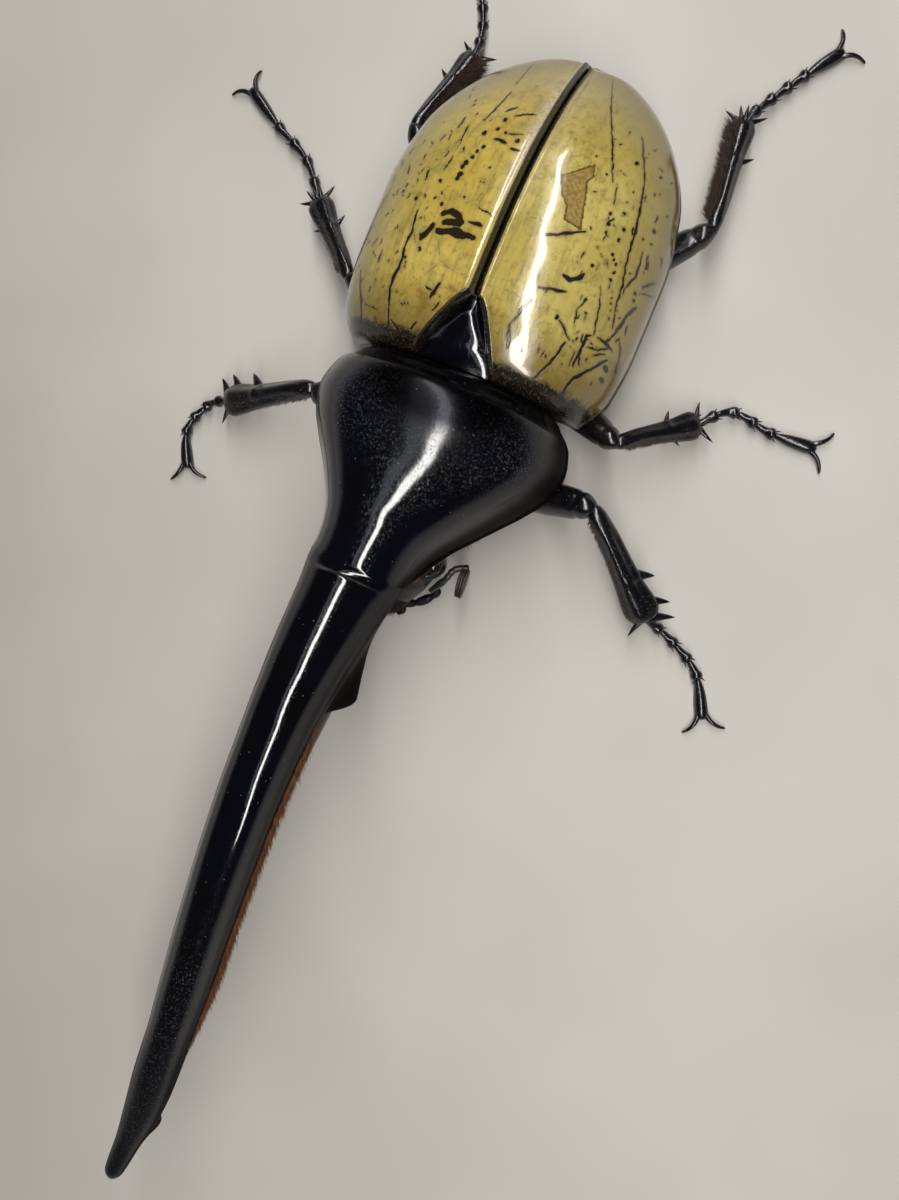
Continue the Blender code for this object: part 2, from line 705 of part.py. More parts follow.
def tibia_loft(name, leg, width, grow, collection):
    knee = Vector(leg["knee"]) * MM
    ankle = Vector(leg["ankle"]) * MM
    places = [knee.lerp(ankle, share) for share, _, _ in TIBIA_PLAN]
    shape = [(width * wide, width * 0.8 * deep) for _, wide, deep in TIBIA_PLAN]
    return limb_loft(name, places, (ankle - knee).normalized(), shape, grow, collection)


def make_leg(name, leg, collection, cutters):
    """Thigh, shin and foot, each set into the one before it with a gap all round."""
    pair = name.split("_")[0]
    width = TIBIA_WIDTH[pair]
    femur = femur_loft(name + "_femur", leg, FEMUR_RADIUS[pair], 0.0, collection)
    groove = femur_loft(name + "_groove", leg, FEMUR_RADIUS[pair], GAP, cutters)
    for body in ("pronotum", "thorax", "abdomen"):
        if boxes_meet(bpy.data.objects[body], groove):
            cut(bpy.data.objects[body], groove, cutters)
    cut(femur, tibia_loft(name + "_knee_hollow", leg, width, GAP, cutters), cutters)
    tibia = tibia_loft(name + "_tibia", leg, width, 0.0, collection)
    fuse(tibia, tibia_teeth(name, leg, width, collection), collection)
    path = foot_path(leg)
    hollow = tapered_tube(name + "_ankle_hollow", path[:7], [TARSUS_RADIUS * 0.9 + GAP] * 7, "leg", cutters)
    cut(tibia, hollow, cutters)
    make_tarsus(name, path, collection, cutters)


def boxes_meet(one, other):
    def corners(piece):
        points = [vert.co for vert in piece.data.vertices]
        return [(min(p[axis] for p in points), max(p[axis] for p in points)) for axis in range(3)]

    return all(a[0] < b[1] and b[0] < a[1] for a, b in zip(corners(one), corners(other)))


def tibia_teeth(name, leg, width, collection):
    """Broad teeth down a front shin; a tooth, a ring of spines and two spurs on the others."""
    start = Vector(leg["knee"]) * MM
    ankle = Vector(leg["ankle"]) * MM
    along = (ankle - start).normalized()
    outward = along.cross(Vector((0, 0, 1))).normalized()
    if outward.y < 0:
        outward = -outward
    teeth = []
    up = outward.cross(along).normalized()
    front = name.startswith("front")
    for share, side, reach, thick in (FRONT_TEETH if front else OTHER_TEETH):
        root = start.lerp(ankle, share)
        sideways = outward * math.copysign(1.0, side)
        tip = root + sideways * (width * 0.9 + reach * MM * 0.75) + along * reach * 0.75 * MM
        teeth.append(spike("tooth", root, tip, thick * MM, "leg", collection))
    if not front:
        for turn in SPINE_TURNS:
            angle = math.pi * turn
            side = outward * math.cos(angle) + up * math.sin(angle)
            root = start.lerp(ankle, 0.95) + side * width * 0.3
            tip = root + side * (width * 0.55 + 0.5 * MM) + along * 2.0 * MM
            teeth.append(spike("spine", root, tip, 0.42 * MM, "leg", collection))
    return teeth


def foot_path(leg):
    """Smooth line of a foot from just inside the end of its shin to its last joint."""
    foot = [Vector(point) * MM for point in leg["foot"]]
    ankle = Vector(leg["ankle"]) * MM
    start = ankle - (foot[0] - ankle).normalized() * 0.5 * MM
    return smooth_path([start] + foot, 12)


def make_tarsus(name, path, collection, cutters):
    """Five joints, each widening to its end, and a pair of hooked claws, flat where they touch the floor."""
    lengths = [0.0]
    for before, after in zip(path, path[1:]):
        lengths.append(lengths[-1] + (after - before).length)
    knots = tuple((length, *point) for length, point in zip(lengths, path))
    total = lengths[-1]
    rings = []
    for first, last in zip(TARSUS_SHARES, TARSUS_SHARES[1:]):
        begin = first * total
        end = last * total
        for within, size in ((0.04, 0.6), (0.55, 0.8), (0.9, 1.12)):
            at = begin + (end - begin) * within
            centre = Vector(smooth_between(knots, at))
            ahead = Vector(smooth_between(knots, min(at + 0.2 * MM, total)))
            behind = Vector(smooth_between(knots, max(at - 0.2 * MM, 0.0)))
            rings.append(limb_ring(centre, (ahead - behind).normalized(), TARSUS_RADIUS * size,
                                   TARSUS_RADIUS * size, SIDES["thin"]))
    tarsus = loft(name + "_tarsus", rings, "leg", collection)
    additions = []
    along = (path[-1] - path[-3]).normalized()
    across = along.cross(Vector((0, 0, 1))).normalized()
    for side in (1, -1):
        hook = claw_path(path[-1] - along * 1.2 * MM, along, across * side)
        radii = [CLAW_RADIUS * (1 - 0.55 * index / (len(hook) - 1)) for index in range(len(hook))]
        additions.append(tapered_tube(name + "_claw", hook, radii, "leg", collection))
    fuse(tarsus, additions, collection)
    return cut(tarsus, floor_block(name + "_floor", path[-1], cutters), cutters)


def claw_path(root, along, sideways):
    """A claw leaves the last joint forward and bends out to the side, coming down to the floor."""
    steps = 8
    point = root + sideways * 0.44 * MM
    start_height = point.z
    hook = [point.copy()]
    for index in range(1, steps + 1):
        share = index / steps
        turn = math.radians(12 + 82 * share)
        point += (along * math.cos(turn) + sideways * math.sin(turn)) * CLAW_LENGTH * 1.2 / steps
        point.z = start_height + (0.5 * math.sin(share * math.pi) - 0.38 * share) * MM
        hook.append(point.copy())
    return hook


def floor_block(name, near, cutters):
    """A slab under the floor level, which leaves a small flat wherever a foot rests on it."""
    bm = bmesh.new()
    bmesh.ops.create_cube(bm, size=1.0)
    bmesh.ops.scale(bm, vec=Vector((60, 60, 4)) * MM, verts=bm.verts)
    bmesh.ops.translate(bm, vec=Vector((near.x, near.y, -2 * MM)), verts=bm.verts)
    return mesh_object(name, bm, "leg", cutters)


def stand_on_origin(collection, cutters):
    """Move everything so that the origin is on the floor under the middle of the beetle's box."""
    corners = [piece.matrix_world @ vert.co for piece in collection.objects for vert in piece.data.vertices]
    middle_x = (min(c.x for c in corners) + max(c.x for c in corners)) / 2
    middle_y = (min(c.y for c in corners) + max(c.y for c in corners)) / 2
    shift = Matrix.Translation((-middle_x, -middle_y, 0.0))
    for piece in list(collection.objects) + list(cutters.objects):
        piece.data.transform(shift)


def build():
    remove_old_objects()
    beetle = new_collection("hercules_beetle")
    cutters = new_collection("cutters")
    make_elytra(beetle, cutters)
    scutellum_block("scutellum", 0.0, beetle)
    make_pronotum(beetle)
    make_thoracic_horn(beetle)
    make_cephalic_horn(beetle)
    make_head(beetle, cutters)
    make_mouthparts(beetle)
    make_antenna("antenna_left", 1, beetle)
    make_antenna("antenna_right", -1, beetle)
    make_thorax(beetle)
    make_abdomen(beetle)
    for name, leg in LEGS.items():
        make_leg(name, leg, beetle, cutters)
    stand_on_origin(beetle, cutters)


build()
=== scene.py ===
import math
from functools import cached_property

import bmesh
import bpy
import numpy as np
from mathutils import Matrix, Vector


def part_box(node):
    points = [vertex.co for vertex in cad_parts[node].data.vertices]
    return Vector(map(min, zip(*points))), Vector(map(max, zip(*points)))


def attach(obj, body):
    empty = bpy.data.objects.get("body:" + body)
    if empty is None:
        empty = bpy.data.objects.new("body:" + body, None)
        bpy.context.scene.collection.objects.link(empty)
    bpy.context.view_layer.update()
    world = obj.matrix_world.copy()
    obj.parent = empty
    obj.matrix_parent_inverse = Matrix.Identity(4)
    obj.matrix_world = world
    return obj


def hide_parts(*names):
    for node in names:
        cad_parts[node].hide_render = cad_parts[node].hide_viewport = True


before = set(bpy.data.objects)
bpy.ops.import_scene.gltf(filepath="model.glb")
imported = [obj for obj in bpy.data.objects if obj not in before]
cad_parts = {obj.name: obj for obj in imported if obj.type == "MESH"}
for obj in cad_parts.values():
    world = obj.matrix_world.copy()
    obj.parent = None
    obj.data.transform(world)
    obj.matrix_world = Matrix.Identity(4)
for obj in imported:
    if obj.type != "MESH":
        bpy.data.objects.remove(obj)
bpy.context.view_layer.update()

# Millimetres in the body's own place: x = 0 on the midline, y = 0 at the joint of the wing cases with the
# pronotum, the head towards -y, the beetle's left towards +x and the floor at z = 0.
MM = 0.001
MIDLINE = (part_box("elytron_left")[1].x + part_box("elytron_right")[0].x) / 2
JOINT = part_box("pronotum")[1].y + 0.3 * MM
SHIFT = np.array((MIDLINE, JOINT, 0.0))
CHANCE = np.random.default_rng(11)
# An edge that turns by more than this, in radians, stays hard
SHARP_TURN = 0.9

# Soft boxes by place, size, strength and colour, with their long sides along one axis; room and camera
LAMP_AXIS = (-0.41, 0.912, 0.0)
LAMPS = {
    "long_lamp": ((-15, 131, 265), (30, 860), 18.5, (1.0, 0.985, 0.96)),
    "side_lamp": ((-62, 120, 265), (22, 700), 0.9, (0.8, 0.9, 1.0)),
}
ROOM_OVERHEAD = 0.03
ROOM_HORIZON = 0.42
FLOOR_REACH = 1200
CAMERA_AT = (32.411, -23.340, 143.084)
CAMERA_TURN = (0.023, 0.172, 0.395)
CAMERA_FOCUS = 929.466 / 1200

# Small dark dashes on each wing case
DASHES = 80
# Rows and columns of the larger shells
WING_CASE_GRID = (330, 214)
PRONOTUM_GRID = (190, 260)
HORN_GRID = (420, 112)

# Wing cases
ELYTRA_LENGTH = 48.7
ELYTRA_HALF_WIDTH = 21.2
ELYTRA_PLAN = (
    (0.0, 0.84), (0.1, 0.965), (0.25, 1.0), (0.45, 1.0),
    (0.65, 0.935), (0.82, 0.74), (0.93, 0.48), (1.0, 0.0),
)
ELYTRA_MARGIN = 10.6
ELYTRA_BASE_TOP = 23.2
ELYTRA_HIGHEST = 25.2
ELYTRA_END_TOP = 12.4
ELYTRA_CREST_AT = 15.0
ELYTRA_SHOULDER = 3.0
DOME_POWER = 2.3
LEFT_SEAM_SINK = 0.75
RIGHT_SEAM_SINK = -0.5
SCUTELLUM_HALF_WIDTH = 5.1
SCUTELLUM_LENGTH = 9.4

# Pronotum, forward from the joint: place, half width, top, side margin, floor
PRONOTUM_SECTIONS = (
    (0.3, 14.6, 22.6, 12.0, 7.0),
    (1.6, 15.9, 24.2, 11.9, 5.8),
    (4.0, 17.8, 25.8, 11.9, 5.0),
    (7.4, 18.6, 27.0, 12.0, 4.6),
    (11.0, 17.7, 27.9, 12.4, 4.6),
    (14.5, 15.5, 28.7, 13.2, 4.9),
    (18.0, 12.7, 29.6, 14.6, 5.6),
    (20.5, 10.8, 30.2, 16.2, 8.6),
    (23.0, 9.0, 30.9, 18.4, 13.4),
    (25.5, 7.8, 31.4, 21.2, 17.2),
    (27.8, 7.1, 31.8, 24.0, 19.8),
    (29.5, 6.7, 32.1, 26.6, 21.3),
)

# Horns, forward from the joint: place, half width, half height, height of the middle
THORACIC_HORN = (
    (29.8, 6.7, 5.4, 26.7),
    (34.0, 6.0, 5.2, 28.7),
    (39.0, 5.3, 5.0, 30.8),
    (44.0, 4.7, 4.9, 32.4),
    (50.0, 4.2, 4.7, 33.6),
    (57.0, 3.95, 4.5, 33.8),
    (64.0, 3.8, 4.3, 33.2),
    (72.0, 3.65, 4.1, 31.9),
    (80.0, 3.5, 3.85, 30.2),
    (88.0, 3.3, 3.6, 28.3),
    (96.0, 2.95, 3.2, 26.7),
    (103.0, 2.5, 2.75, 25.6),
    (109.0, 2.0, 2.3, 24.5),
    (114.0, 1.45, 1.75, 23.8),
    (118.4, 1.1, 1.25, 23.4),
    (120.2, 0.75, 0.8, 23.3),
)
HORN_KNOB_AT = 111.0
CEPHALIC_HORN = (
    (32.4, 3.0, 3.0, 12.4),
    (36.0, 2.7, 3.0, 14.8),
    (41.0, 2.4, 2.8, 17.0),
    (47.0, 2.2, 2.6, 18.8),
    (53.0, 2.0, 2.4, 20.4),
    (59.0, 1.8, 2.2, 21.8),
    (65.0, 1.6, 1.9, 23.2),
    (70.0, 1.2, 1.5, 24.6),
    (73.4, 0.8, 1.0, 25.7),
)
CEPHALIC_TEETH = ((50.0, 2.6), (62.5, 1.7))

# Head, forward from the joint: place, half width, top, middle, bottom
HEAD_SECTIONS = (
    (20.8, 4.4, 7.9, 6.6, 5.2),
    (22.4, 5.6, 10.9, 8.0, 4.9),
    (24.4, 6.4, 14.0, 9.4, 4.8),
    (26.6, 6.6, 16.2, 10.2, 5.0),
    (28.8, 6.1, 16.8, 10.6, 5.4),
    (30.6, 5.2, 16.2, 10.6, 6.0),
    (32.0, 4.4, 15.4, 10.6, 6.7),
)
# Front plate of the head: place, half width, top, bottom
CLYPEUS_SECTIONS = (
    (32.3, 3.8, 9.2, 5.9), (33.2, 3.5, 8.8, 6.0), (34.2, 2.7, 8.2, 6.2), (34.8, 1.8, 7.7, 6.5),
)
PALP_PATH = ((2.4, -32.6, 6.7), (4.6, -31.9, 6.1), (6.6, -30.0, 6.3), (7.2, -28.6, 6.9))
EYE_RADIUS = 2.1
EYE_CENTRE = (5.9, -25.4, 11.4)
# The ridge beside each eye, from the eye's middle
BROW = ((-2.2, -2.2, 1.4), (0.4, -1.7, 0.9), (1.6, -0.2, 0.5), (1.3, 1.0, 0.4))
JAW_PATH = ((2.6, -32.6, 7.2), (3.4, -33.6, 7.0), (2.8, -34.4, 6.9))
FEELER_PATH = ((6.75, -29.2, 10.0), (8.3, -27.0, 11.2), (9.2, -25.0, 11.7), (11.0, -24.0, 11.4))

# Underside: place behind the joint, half width, bottom
THORAX_SECTIONS = (
    (0.3, 13.4, 6.0), (3.0, 15.6, 4.6), (8.0, 17.0, 3.9),
    (14.0, 17.6, 3.7), (19.0, 17.7, 3.9), (23.0, 17.6, 4.3),
)
BELLY_TOP = 9.1
BELLY_EDGE = 8.5
ABDOMEN_START = 23.4
ABDOMEN_END = 45.4
ABDOMEN_PLATES = 6
COXA_RADIUS = 2.6

# Legs: hip, knee, end of the shin and three places of the foot
LEGS = {
    "front_left": (
        (5.6, -11.0, 4.9), (24.1, -9.7, 12.5), (37.1, -21.2, 4.2),
        (41.0, -22.4, 2.0), (46.6, -25.6, 1.2), (50.2, -31.6, 0.62),
    ),
    "front_right": (
        (-5.6, -11.0, 4.9), (-20.4, -8.2, 12.5), (-36.4, -14.0, 4.2),
        (-40.2, -15.6, 2.0), (-42.6, -20.6, 1.2), (-40.4, -26.4, 0.62),
    ),
    "middle_left": (
        (5.6, 7.6, 4.0), (23.4, 0.2, 9.8), (33.1, 8.2, 3.8),
        (36.9, 11.8, 2.0), (43.2, 11.0, 1.2), (50.0, 11.2, 0.62),
    ),
    "middle_right": (
        (-5.6, 7.6, 4.0), (-23.4, 9.6, 8.5), (-34.7, 20.6, 3.8),
        (-40.0, 26.4, 2.0), (-47.2, 30.4, 1.2), (-54.2, 34.8, 0.62),
    ),
    "hind_left": (
        (6.4, 18.0, 4.0), (24.4, 33.2, 8.4), (22.3, 51.6, 3.8),
        (24.8, 56.8, 2.0), (28.2, 62.2, 1.2), (31.6, 66.8, 0.62),
    ),
    "hind_right": (
        (-6.4, 18.0, 4.0), (-22.6, 33.8, 8.4), (-19.5, 49.1, 3.8),
        (-20.9, 54.6, 2.0), (-23.8, 60.6, 1.2), (-26.4, 66.2, 0.62),
    ),
}
FEMUR_RADIUS = {"front": 2.8, "middle": 2.55, "hind": 2.5}
FEMUR_SAG = 0.085
FEMUR_PLAN = ((0.0, 0.6), (0.1, 0.8), (0.32, 1.0), (0.6, 1.0), (0.82, 0.88), (0.95, 0.72), (1.03, 0.42))
TIBIA_WIDTH = {"front": 2.1, "middle": 1.7, "hind": 1.6}
TIBIA_PLAN = (
    (-0.02, 0.42, 0.5), (0.06, 0.66, 0.8), (0.35, 0.74, 0.85), (0.65, 0.9, 0.85), (0.9, 1.14, 0.9),
    (1.0, 0.88, 0.75),
)
FRONT_TEETH = ((0.6, 1.0, 2.5, 1.2), (0.83, 1.0, 3.0, 1.1), (0.98, 1.0, 2.6, 0.9), (0.97, -1.0, 2.2, 0.6))
OTHER_TEETH = ((0.6, 1.0, 1.9, 0.7), (0.97, 1.0, 2.2, 0.6), (0.97, -1.0, 2.2, 0.6), (0.62, -0.6, 1.4, 0.5))
SPINE_TURNS = (0.3, 0.5, 0.7, 1.5)
TARSUS_SHARES = (0.0, 0.19, 0.36, 0.52, 0.68, 1.0)
TARSUS_RADIUS = 0.72
FOOT_JOINT_PLAN = ((0.0, 0.45), (0.12, 0.64), (0.55, 0.86), (0.84, 1.3), (0.96, 1.1), (1.05, 0.45))
FOOT_END_PLAN = ((0.0, 0.45), (0.1, 0.74), (0.45, 1.25), (0.8, 1.4), (0.97, 1.15), (1.05, 0.5))
CLAW_LENGTH = 3.9
CLAW_RADIUS = 0.44

# The brush under the long horn, hairs and their length for each pair of shins, and bristles in a line
BRUSH_HAIRS = 16400
BRUSH_START = 45.5
BRUSH_LENGTH = 54.5
SHIN_HAIRS = {"front": (420, 0.6), "middle": (420, 0.6), "hind": (1500, 1.5)}
SIDE_BRISTLES = 420
FRONT_BRISTLES = 260
MOUTH_EDGE = ((-3.2, -32.9, 6.6), (-1.6, -34.4, 6.7), (0.0, -34.6, 6.7), (1.6, -34.4, 6.7), (3.2, -32.9, 6.6))

# Markings of the wing cases, as they are seen from above: half width, then places (across, back)
RIGHT_CRACKS = (
    (0.21, (-11.8, 17.4), (-11.6, 15.7), (-11.3, 14.4), (-11.5, 12.5), (-11.2, 10.5), (-11.5, 8.0),
     (-11.4, 6.4), (-10.7, 4.2), (-9.9, 1.9)),
    (0.14, (-17.6, 8.5), (-17.0, 6.9), (-15.6, 4.5), (-14.5, 1.7)),
    (0.11, (-7.2, 37.8), (-7.6, 35.5), (-7.9, 33.7), (-8.5, 32.0)),
    (0.11, (-10.1, 25.7), (-10.3, 24.5), (-10.5, 23.5)),
    (0.11, (-10.2, 30.7), (-10.2, 29.3), (-10.1, 27.8)),
    (0.06, (-7.2, 45.7), (-7.1, 42.4), (-7.3, 39.5)),
    (0.11, (-14.9, 11.4), (-14.9, 9.7)),
    (0.18, (-11.3, 31.9), (-11.5, 30.5)),
    (0.26, (-4.8, 8.9), (-5.1, 7.8), (-5.5, 6.8)),
    (0.16, (-6.5, 8.0), (-5.6, 8.0)),
    (0.11, (-3.8, 6.7), (-4.5, 5.5)),
    (0.12, (-9.1, 5.1), (-8.2, 5.3)),
    (0.14, (-6.1, 3.5), (-6.6, 2.4)),
    (0.12, (-9.8, 2.8), (-8.2, 1.9)),
    (0.08, (-14.7, 4.0), (-12.4, 3.6)),
    (0.16, (-12.7, 23.2), (-12.6, 21.7)),
    (0.21, (-4.6, 33.9), (-3.6, 34.4), (-2.2, 34.8)),
    (0.15, (-6.3, 34.3), (-5.1, 35.3)),
    (0.25, (-5.7, 29.6), (-4.6, 29.4), (-4.0, 29.3)),
    (0.19, (-3.0, 28.6), (-1.7, 28.7)),
    (0.10, (-4.4, 30.8), (-2.4, 31.2)),
    (0.21, (-4.1, 17.6), (-2.2, 17.5)),
    (0.62, (-7.7, 15.3), (-5.3, 15.7), (-2.7, 15.7)),
    (0.52, (-7.9, 17.6), (-7.1, 18.2), (-5.8, 17.9), (-5.0, 17.3)),
    (0.55, (-7.3, 16.6), (-6.4, 17.0), (-5.2, 16.9)),
    (0.50, (-8.7, 16.0), (-9.1, 14.8), (-9.6, 13.8)),
    (0.08, (-3.6, 19.7), (-1.3, 19.1)),
)
LEFT_CRACKS = (
    (0.10, (4.1, 45.9), (6.3, 40.0), (8.6, 35.0), (9.8, 32.1), (10.9, 29.4)),
    (0.06, (11.5, 29.4), (12.2, 26.6)),
    (0.12, (11.6, 38.0), (13.1, 34.7), (14.3, 32.1), (15.2, 28.5), (16.0, 24.8), (16.2, 22.4), (16.5, 20.0),
     (17.0, 17.9), (17.3, 15.0), (17.9, 12.4)),
    (0.12, (17.7, 23.1), (18.0, 20.7), (18.0, 19.4), (17.4, 17.8)),
    (0.12, (14.7, 16.2), (15.5, 13.9), (15.7, 12.2), (16.1, 10.4)),
    (0.19, (15.9, 10.3), (15.4, 9.9), (15.2, 7.1), (15.1, 5.7)),
    (0.08, (13.6, 13.9), (13.1, 12.2), (13.5, 10.1)),
    (0.16, (19.5, 16.7), (18.8, 14.7), (18.5, 12.7), (18.0, 10.8)),
    (0.16, (13.2, 7.9), (12.7, 5.7), (12.0, 4.0), (11.2, 2.4)),
    (0.19, (18.6, 8.5), (17.2, 6.4), (15.8, 4.6), (15.2, 3.2), (14.9, 2.0)),
    (0.12, (15.9, 8.6), (17.2, 8.9), (18.3, 10.1)),
    (0.11, (16.8, 8.1), (18.2, 9.1)),
    (0.12, (16.6, 10.4), (18.1, 10.3), (18.9, 9.9)),
    (0.10, (19.1, 11.7), (19.8, 10.3), (20.1, 7.8)),
    (0.11, (11.6, 10.1), (13.6, 8.4)),
    (0.25, (5.9, 19.4), (7.3, 19.8), (8.6, 20.8), (10.3, 21.6)),
    (0.29, (10.0, 15.4), (10.9, 15.3), (11.7, 15.7), (12.2, 16.7)),
    (0.23, (7.7, 12.8), (9.7, 13.3), (11.0, 13.6)),
    (0.16, (7.3, 11.1), (6.6, 9.3), (6.0, 7.4)),
    (0.25, (5.8, 7.1), (6.7, 4.4)),
    (0.12, (19.3, 19.3), (20.3, 21.1)),
    (0.12, (20.0, 24.5), (20.4, 23.2)),
    (0.11, (18.5, 23.1), (18.8, 21.4)),
    (0.08, (19.3, 18.4), (21.0, 19.9)),
)
# Spots: across, back, radius
RIGHT_SPOTS = (
    (-9.2, 12.5, 0.27), (-10.8, 10.9, 0.23), (-10.5, 10.3, 0.23), (-13.2, 10.1, 0.19), (-12.8, 19.0, 0.30),
    (-8.7, 18.9, 0.36), (-10.0, 19.6, 0.22), (-6.0, 20.5, 0.21), (-10.3, 21.9, 0.29), (-12.2, 24.9, 0.19),
    (-6.7, 28.0, 0.39), (-7.2, 27.2, 0.37), (-7.4, 26.3, 0.42), (-7.9, 25.1, 0.42), (-8.1, 24.6, 0.38),
    (-8.0, 23.4, 0.46), (-8.1, 22.7, 0.45), (-7.5, 30.1, 0.50), (-6.0, 31.2, 0.47), (-5.7, 32.8, 0.46),
    (-4.7, 30.9, 0.30), (-2.6, 30.0, 0.43), (-4.5, 25.3, 0.20), (-4.9, 23.1, 0.14), (-4.3, 23.2, 0.14),
    (-4.1, 7.4, 0.18), (-11.3, 35.1, 0.17), (-10.0, 32.9, 0.17), (-8.5, 32.1, 0.19),
)
LEFT_SPOTS = (
    (12.3, 25.3, 0.26), (12.6, 24.0, 0.28), (12.7, 22.8, 0.29), (13.8, 26.3, 0.30), (14.6, 24.3, 0.28),
    (14.6, 22.8, 0.35), (17.9, 26.5, 0.26), (12.5, 20.5, 0.22), (13.4, 19.8, 0.16), (12.8, 18.1, 0.26),
    (14.5, 20.6, 0.25), (14.9, 20.1, 0.19), (15.4, 19.7, 0.21), (15.5, 18.7, 0.31), (15.4, 17.6, 0.21),
    (9.8, 30.1, 0.19), (7.6, 32.0, 0.16), (12.6, 33.6, 0.31), (15.9, 33.9, 0.23), (17.1, 24.6, 0.23),
    (18.2, 24.8, 0.21), (18.8, 18.0, 0.23), (18.9, 17.2, 0.23), (16.2, 16.4, 0.14), (16.4, 15.7, 0.14),
    (16.6, 15.0, 0.14), (16.8, 14.2, 0.14), (17.0, 13.3, 0.14), (13.6, 13.9, 0.25), (11.1, 10.3, 0.30),
    (18.9, 7.6, 0.35), (18.9, 6.2, 0.41),
)
BROWN_PATCH = (
    (4.6, 27.6), (6.3, 29.2), (7.9, 30.7), (8.5, 29.0), (8.0, 28.0), (8.8, 25.6), (9.4, 22.9), (9.8, 21.6),
    (7.3, 22.0), (6.9, 23.7), (5.6, 25.2),
)


# Shapes

def to_part(points):
    """Millimetres in the body's own place to metres in the part's."""
    return np.asarray(points, float) * MM + SHIFT


def between(knots, places):
    """Monotone cubics through rows of (place, value...), each value at all the places asked for."""
    knots = np.asarray(knots, float)
    places = np.clip(np.asarray(places, float), knots[0, 0], knots[-1, 0])
    steps = np.diff(knots[:, 0])
    rises = np.diff(knots[:, 1:], axis=0) / steps[:, None]
    slopes = np.zeros_like(knots[:, 1:])
    slopes[0] = rises[0]
    slopes[-1] = rises[-1]
    product = rises[:-1] * rises[1:]
    total = np.where(np.abs(rises[:-1] + rises[1:]) < 1e-12, 1.0, rises[:-1] + rises[1:])
    slopes[1:-1] = np.where(product > 0, 2 * product / total, 0.0)
    left = np.clip(np.searchsorted(knots[:, 0], places, side="right") - 1, 0, len(steps) - 1)
    width = steps[left][..., None]
    t = ((places - knots[left, 0]) / steps[left])[..., None]
    values = (
        knots[left, 1:] * (2 * t**3 - 3 * t**2 + 1)
        + knots[left + 1, 1:] * (3 * t**2 - 2 * t**3)
        + slopes[left] * width * (t**3 - 2 * t**2 + t)
        + slopes[left + 1] * width * (t**3 - t**2)
    )
    return np.moveaxis(values, -1, 0)


def smooth_step(value, low, high):
    t = np.clip((value - low) / (high - low), 0, 1)
    return t * t * (3 - 2 * t)


def bell(value, middle, width):
    return np.exp(-((value - middle) / width) ** 2)


def unit(vectors):
    vectors = np.asarray(vectors, float)
    return vectors / np.maximum(np.linalg.norm(vectors, axis=-1, keepdims=True), 1e-9)


def signed_power(value, power):
    return np.sign(value) * np.abs(value) ** power


def turns(count):
    """Angles once round, as one row."""
    return np.linspace(0, 2 * np.pi, count, endpoint=False)[None, :]


def ball_end(value, least):
    """Width of a ball's half: 1 where value is 0, falling to least where it is 1."""
    return np.sqrt(np.clip(1 - np.clip(value, 0, 1) ** 2, least, 1))


def level_across(along):
    return unit(np.cross(along, (0, 0, 1)))


def lengths_along(line):
    return np.append(0, np.cumsum(np.linalg.norm(np.diff(line, axis=0), axis=1)))


def wobble(x, y, size):
    """Smooth unevenness between about -1 and 1, from a few crossing waves of one size."""
    return (
        np.sin((x * 1.7 + y * 0.6) / size)
        + np.sin((y * 1.9 - x * 0.8) / size + 1.3)
        + np.sin((x * 0.9 + y * 1.3) / size * 1.9 + 2.1) * 0.6
    ) / 2.6


def grid_faces(rows, columns, wrap):
    """Quads over a grid of points, closed round its columns if it wraps."""
    row = np.arange(rows - 1)[:, None] * columns
    column = np.arange(columns if wrap else columns - 1)
    following = (column + 1) % columns
    corners = (row + column, row + following, row + columns + following, row + columns + column)
    return np.stack(corners, -1).reshape(-1, 4)


class Shape:
    """Points and faces gathered from several grids before they become one mesh."""

    def __init__(self, *closed_grids):
        self.points = []
        self.quads = []
        self.triangles = []
        self.count = 0
        for points in closed_grids:
            self.closed(points)

    def add(self, points, quads):
        start = self.count
        self.points.append(np.reshape(points, (-1, 3)))
        self.quads.extend((quads + start).tolist())
        self.count += len(self.points[-1])
        return start

    def closed(self, points):
        """A grid that wraps, with triangles from its first and last rows to their middles."""
        rows, columns = points.shape[:2]
        ends = points[[0, -1]].mean(axis=1)
        start = self.add(np.concatenate([points.reshape(-1, 3), ends]), grid_faces(rows, columns, True))
        for end, row in enumerate((0, rows - 1)):
            ring = start + row * columns + np.arange(columns)
            centre = np.full(columns, start + rows * columns + end)
            self.triangles.extend(np.stack([ring, np.roll(ring, -1), centre], -1).tolist())

    def mesh(self, name):
        mesh = bpy.data.meshes.new(name)
        mesh.from_pydata(to_part(np.concatenate(self.points)), [], self.quads + self.triangles)
        mesh.validate()
        mesh.shade_smooth()
        return mesh


def outward(mesh):
    """Turn every face outward, also in meshes of several closed shells, and keep hard edges hard."""
    bm = bmesh.new()
    bm.from_mesh(mesh)
    bmesh.ops.recalc_face_normals(bm, faces=bm.faces)
    for edge in bm.edges:
        edge.smooth = not edge.is_manifold or edge.calc_face_angle() < SHARP_TURN
    bm.to_mesh(mesh)
    bm.free()


def add_values(mesh, name, values):
    """A number for each point that the material reads."""
    attribute = mesh.attributes.new(name, "FLOAT", "POINT")
    attribute.data.foreach_set("value", np.asarray(values, np.float32).ravel())


def put(name, data):
    """Put a mesh, a lamp or a camera in the scene."""
    made = bpy.data.objects.new(name, data)
    bpy.context.scene.collection.objects.link(made)
    return made


def make_piece(mesh, material, slot_name, *nodes):
    """Put a mesh in the scene in place of the solids it stands for."""
    mesh.materials.append(material)
    piece = put(mesh.name, mesh)
    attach(piece, "root")
    if nodes:
        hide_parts(*nodes)


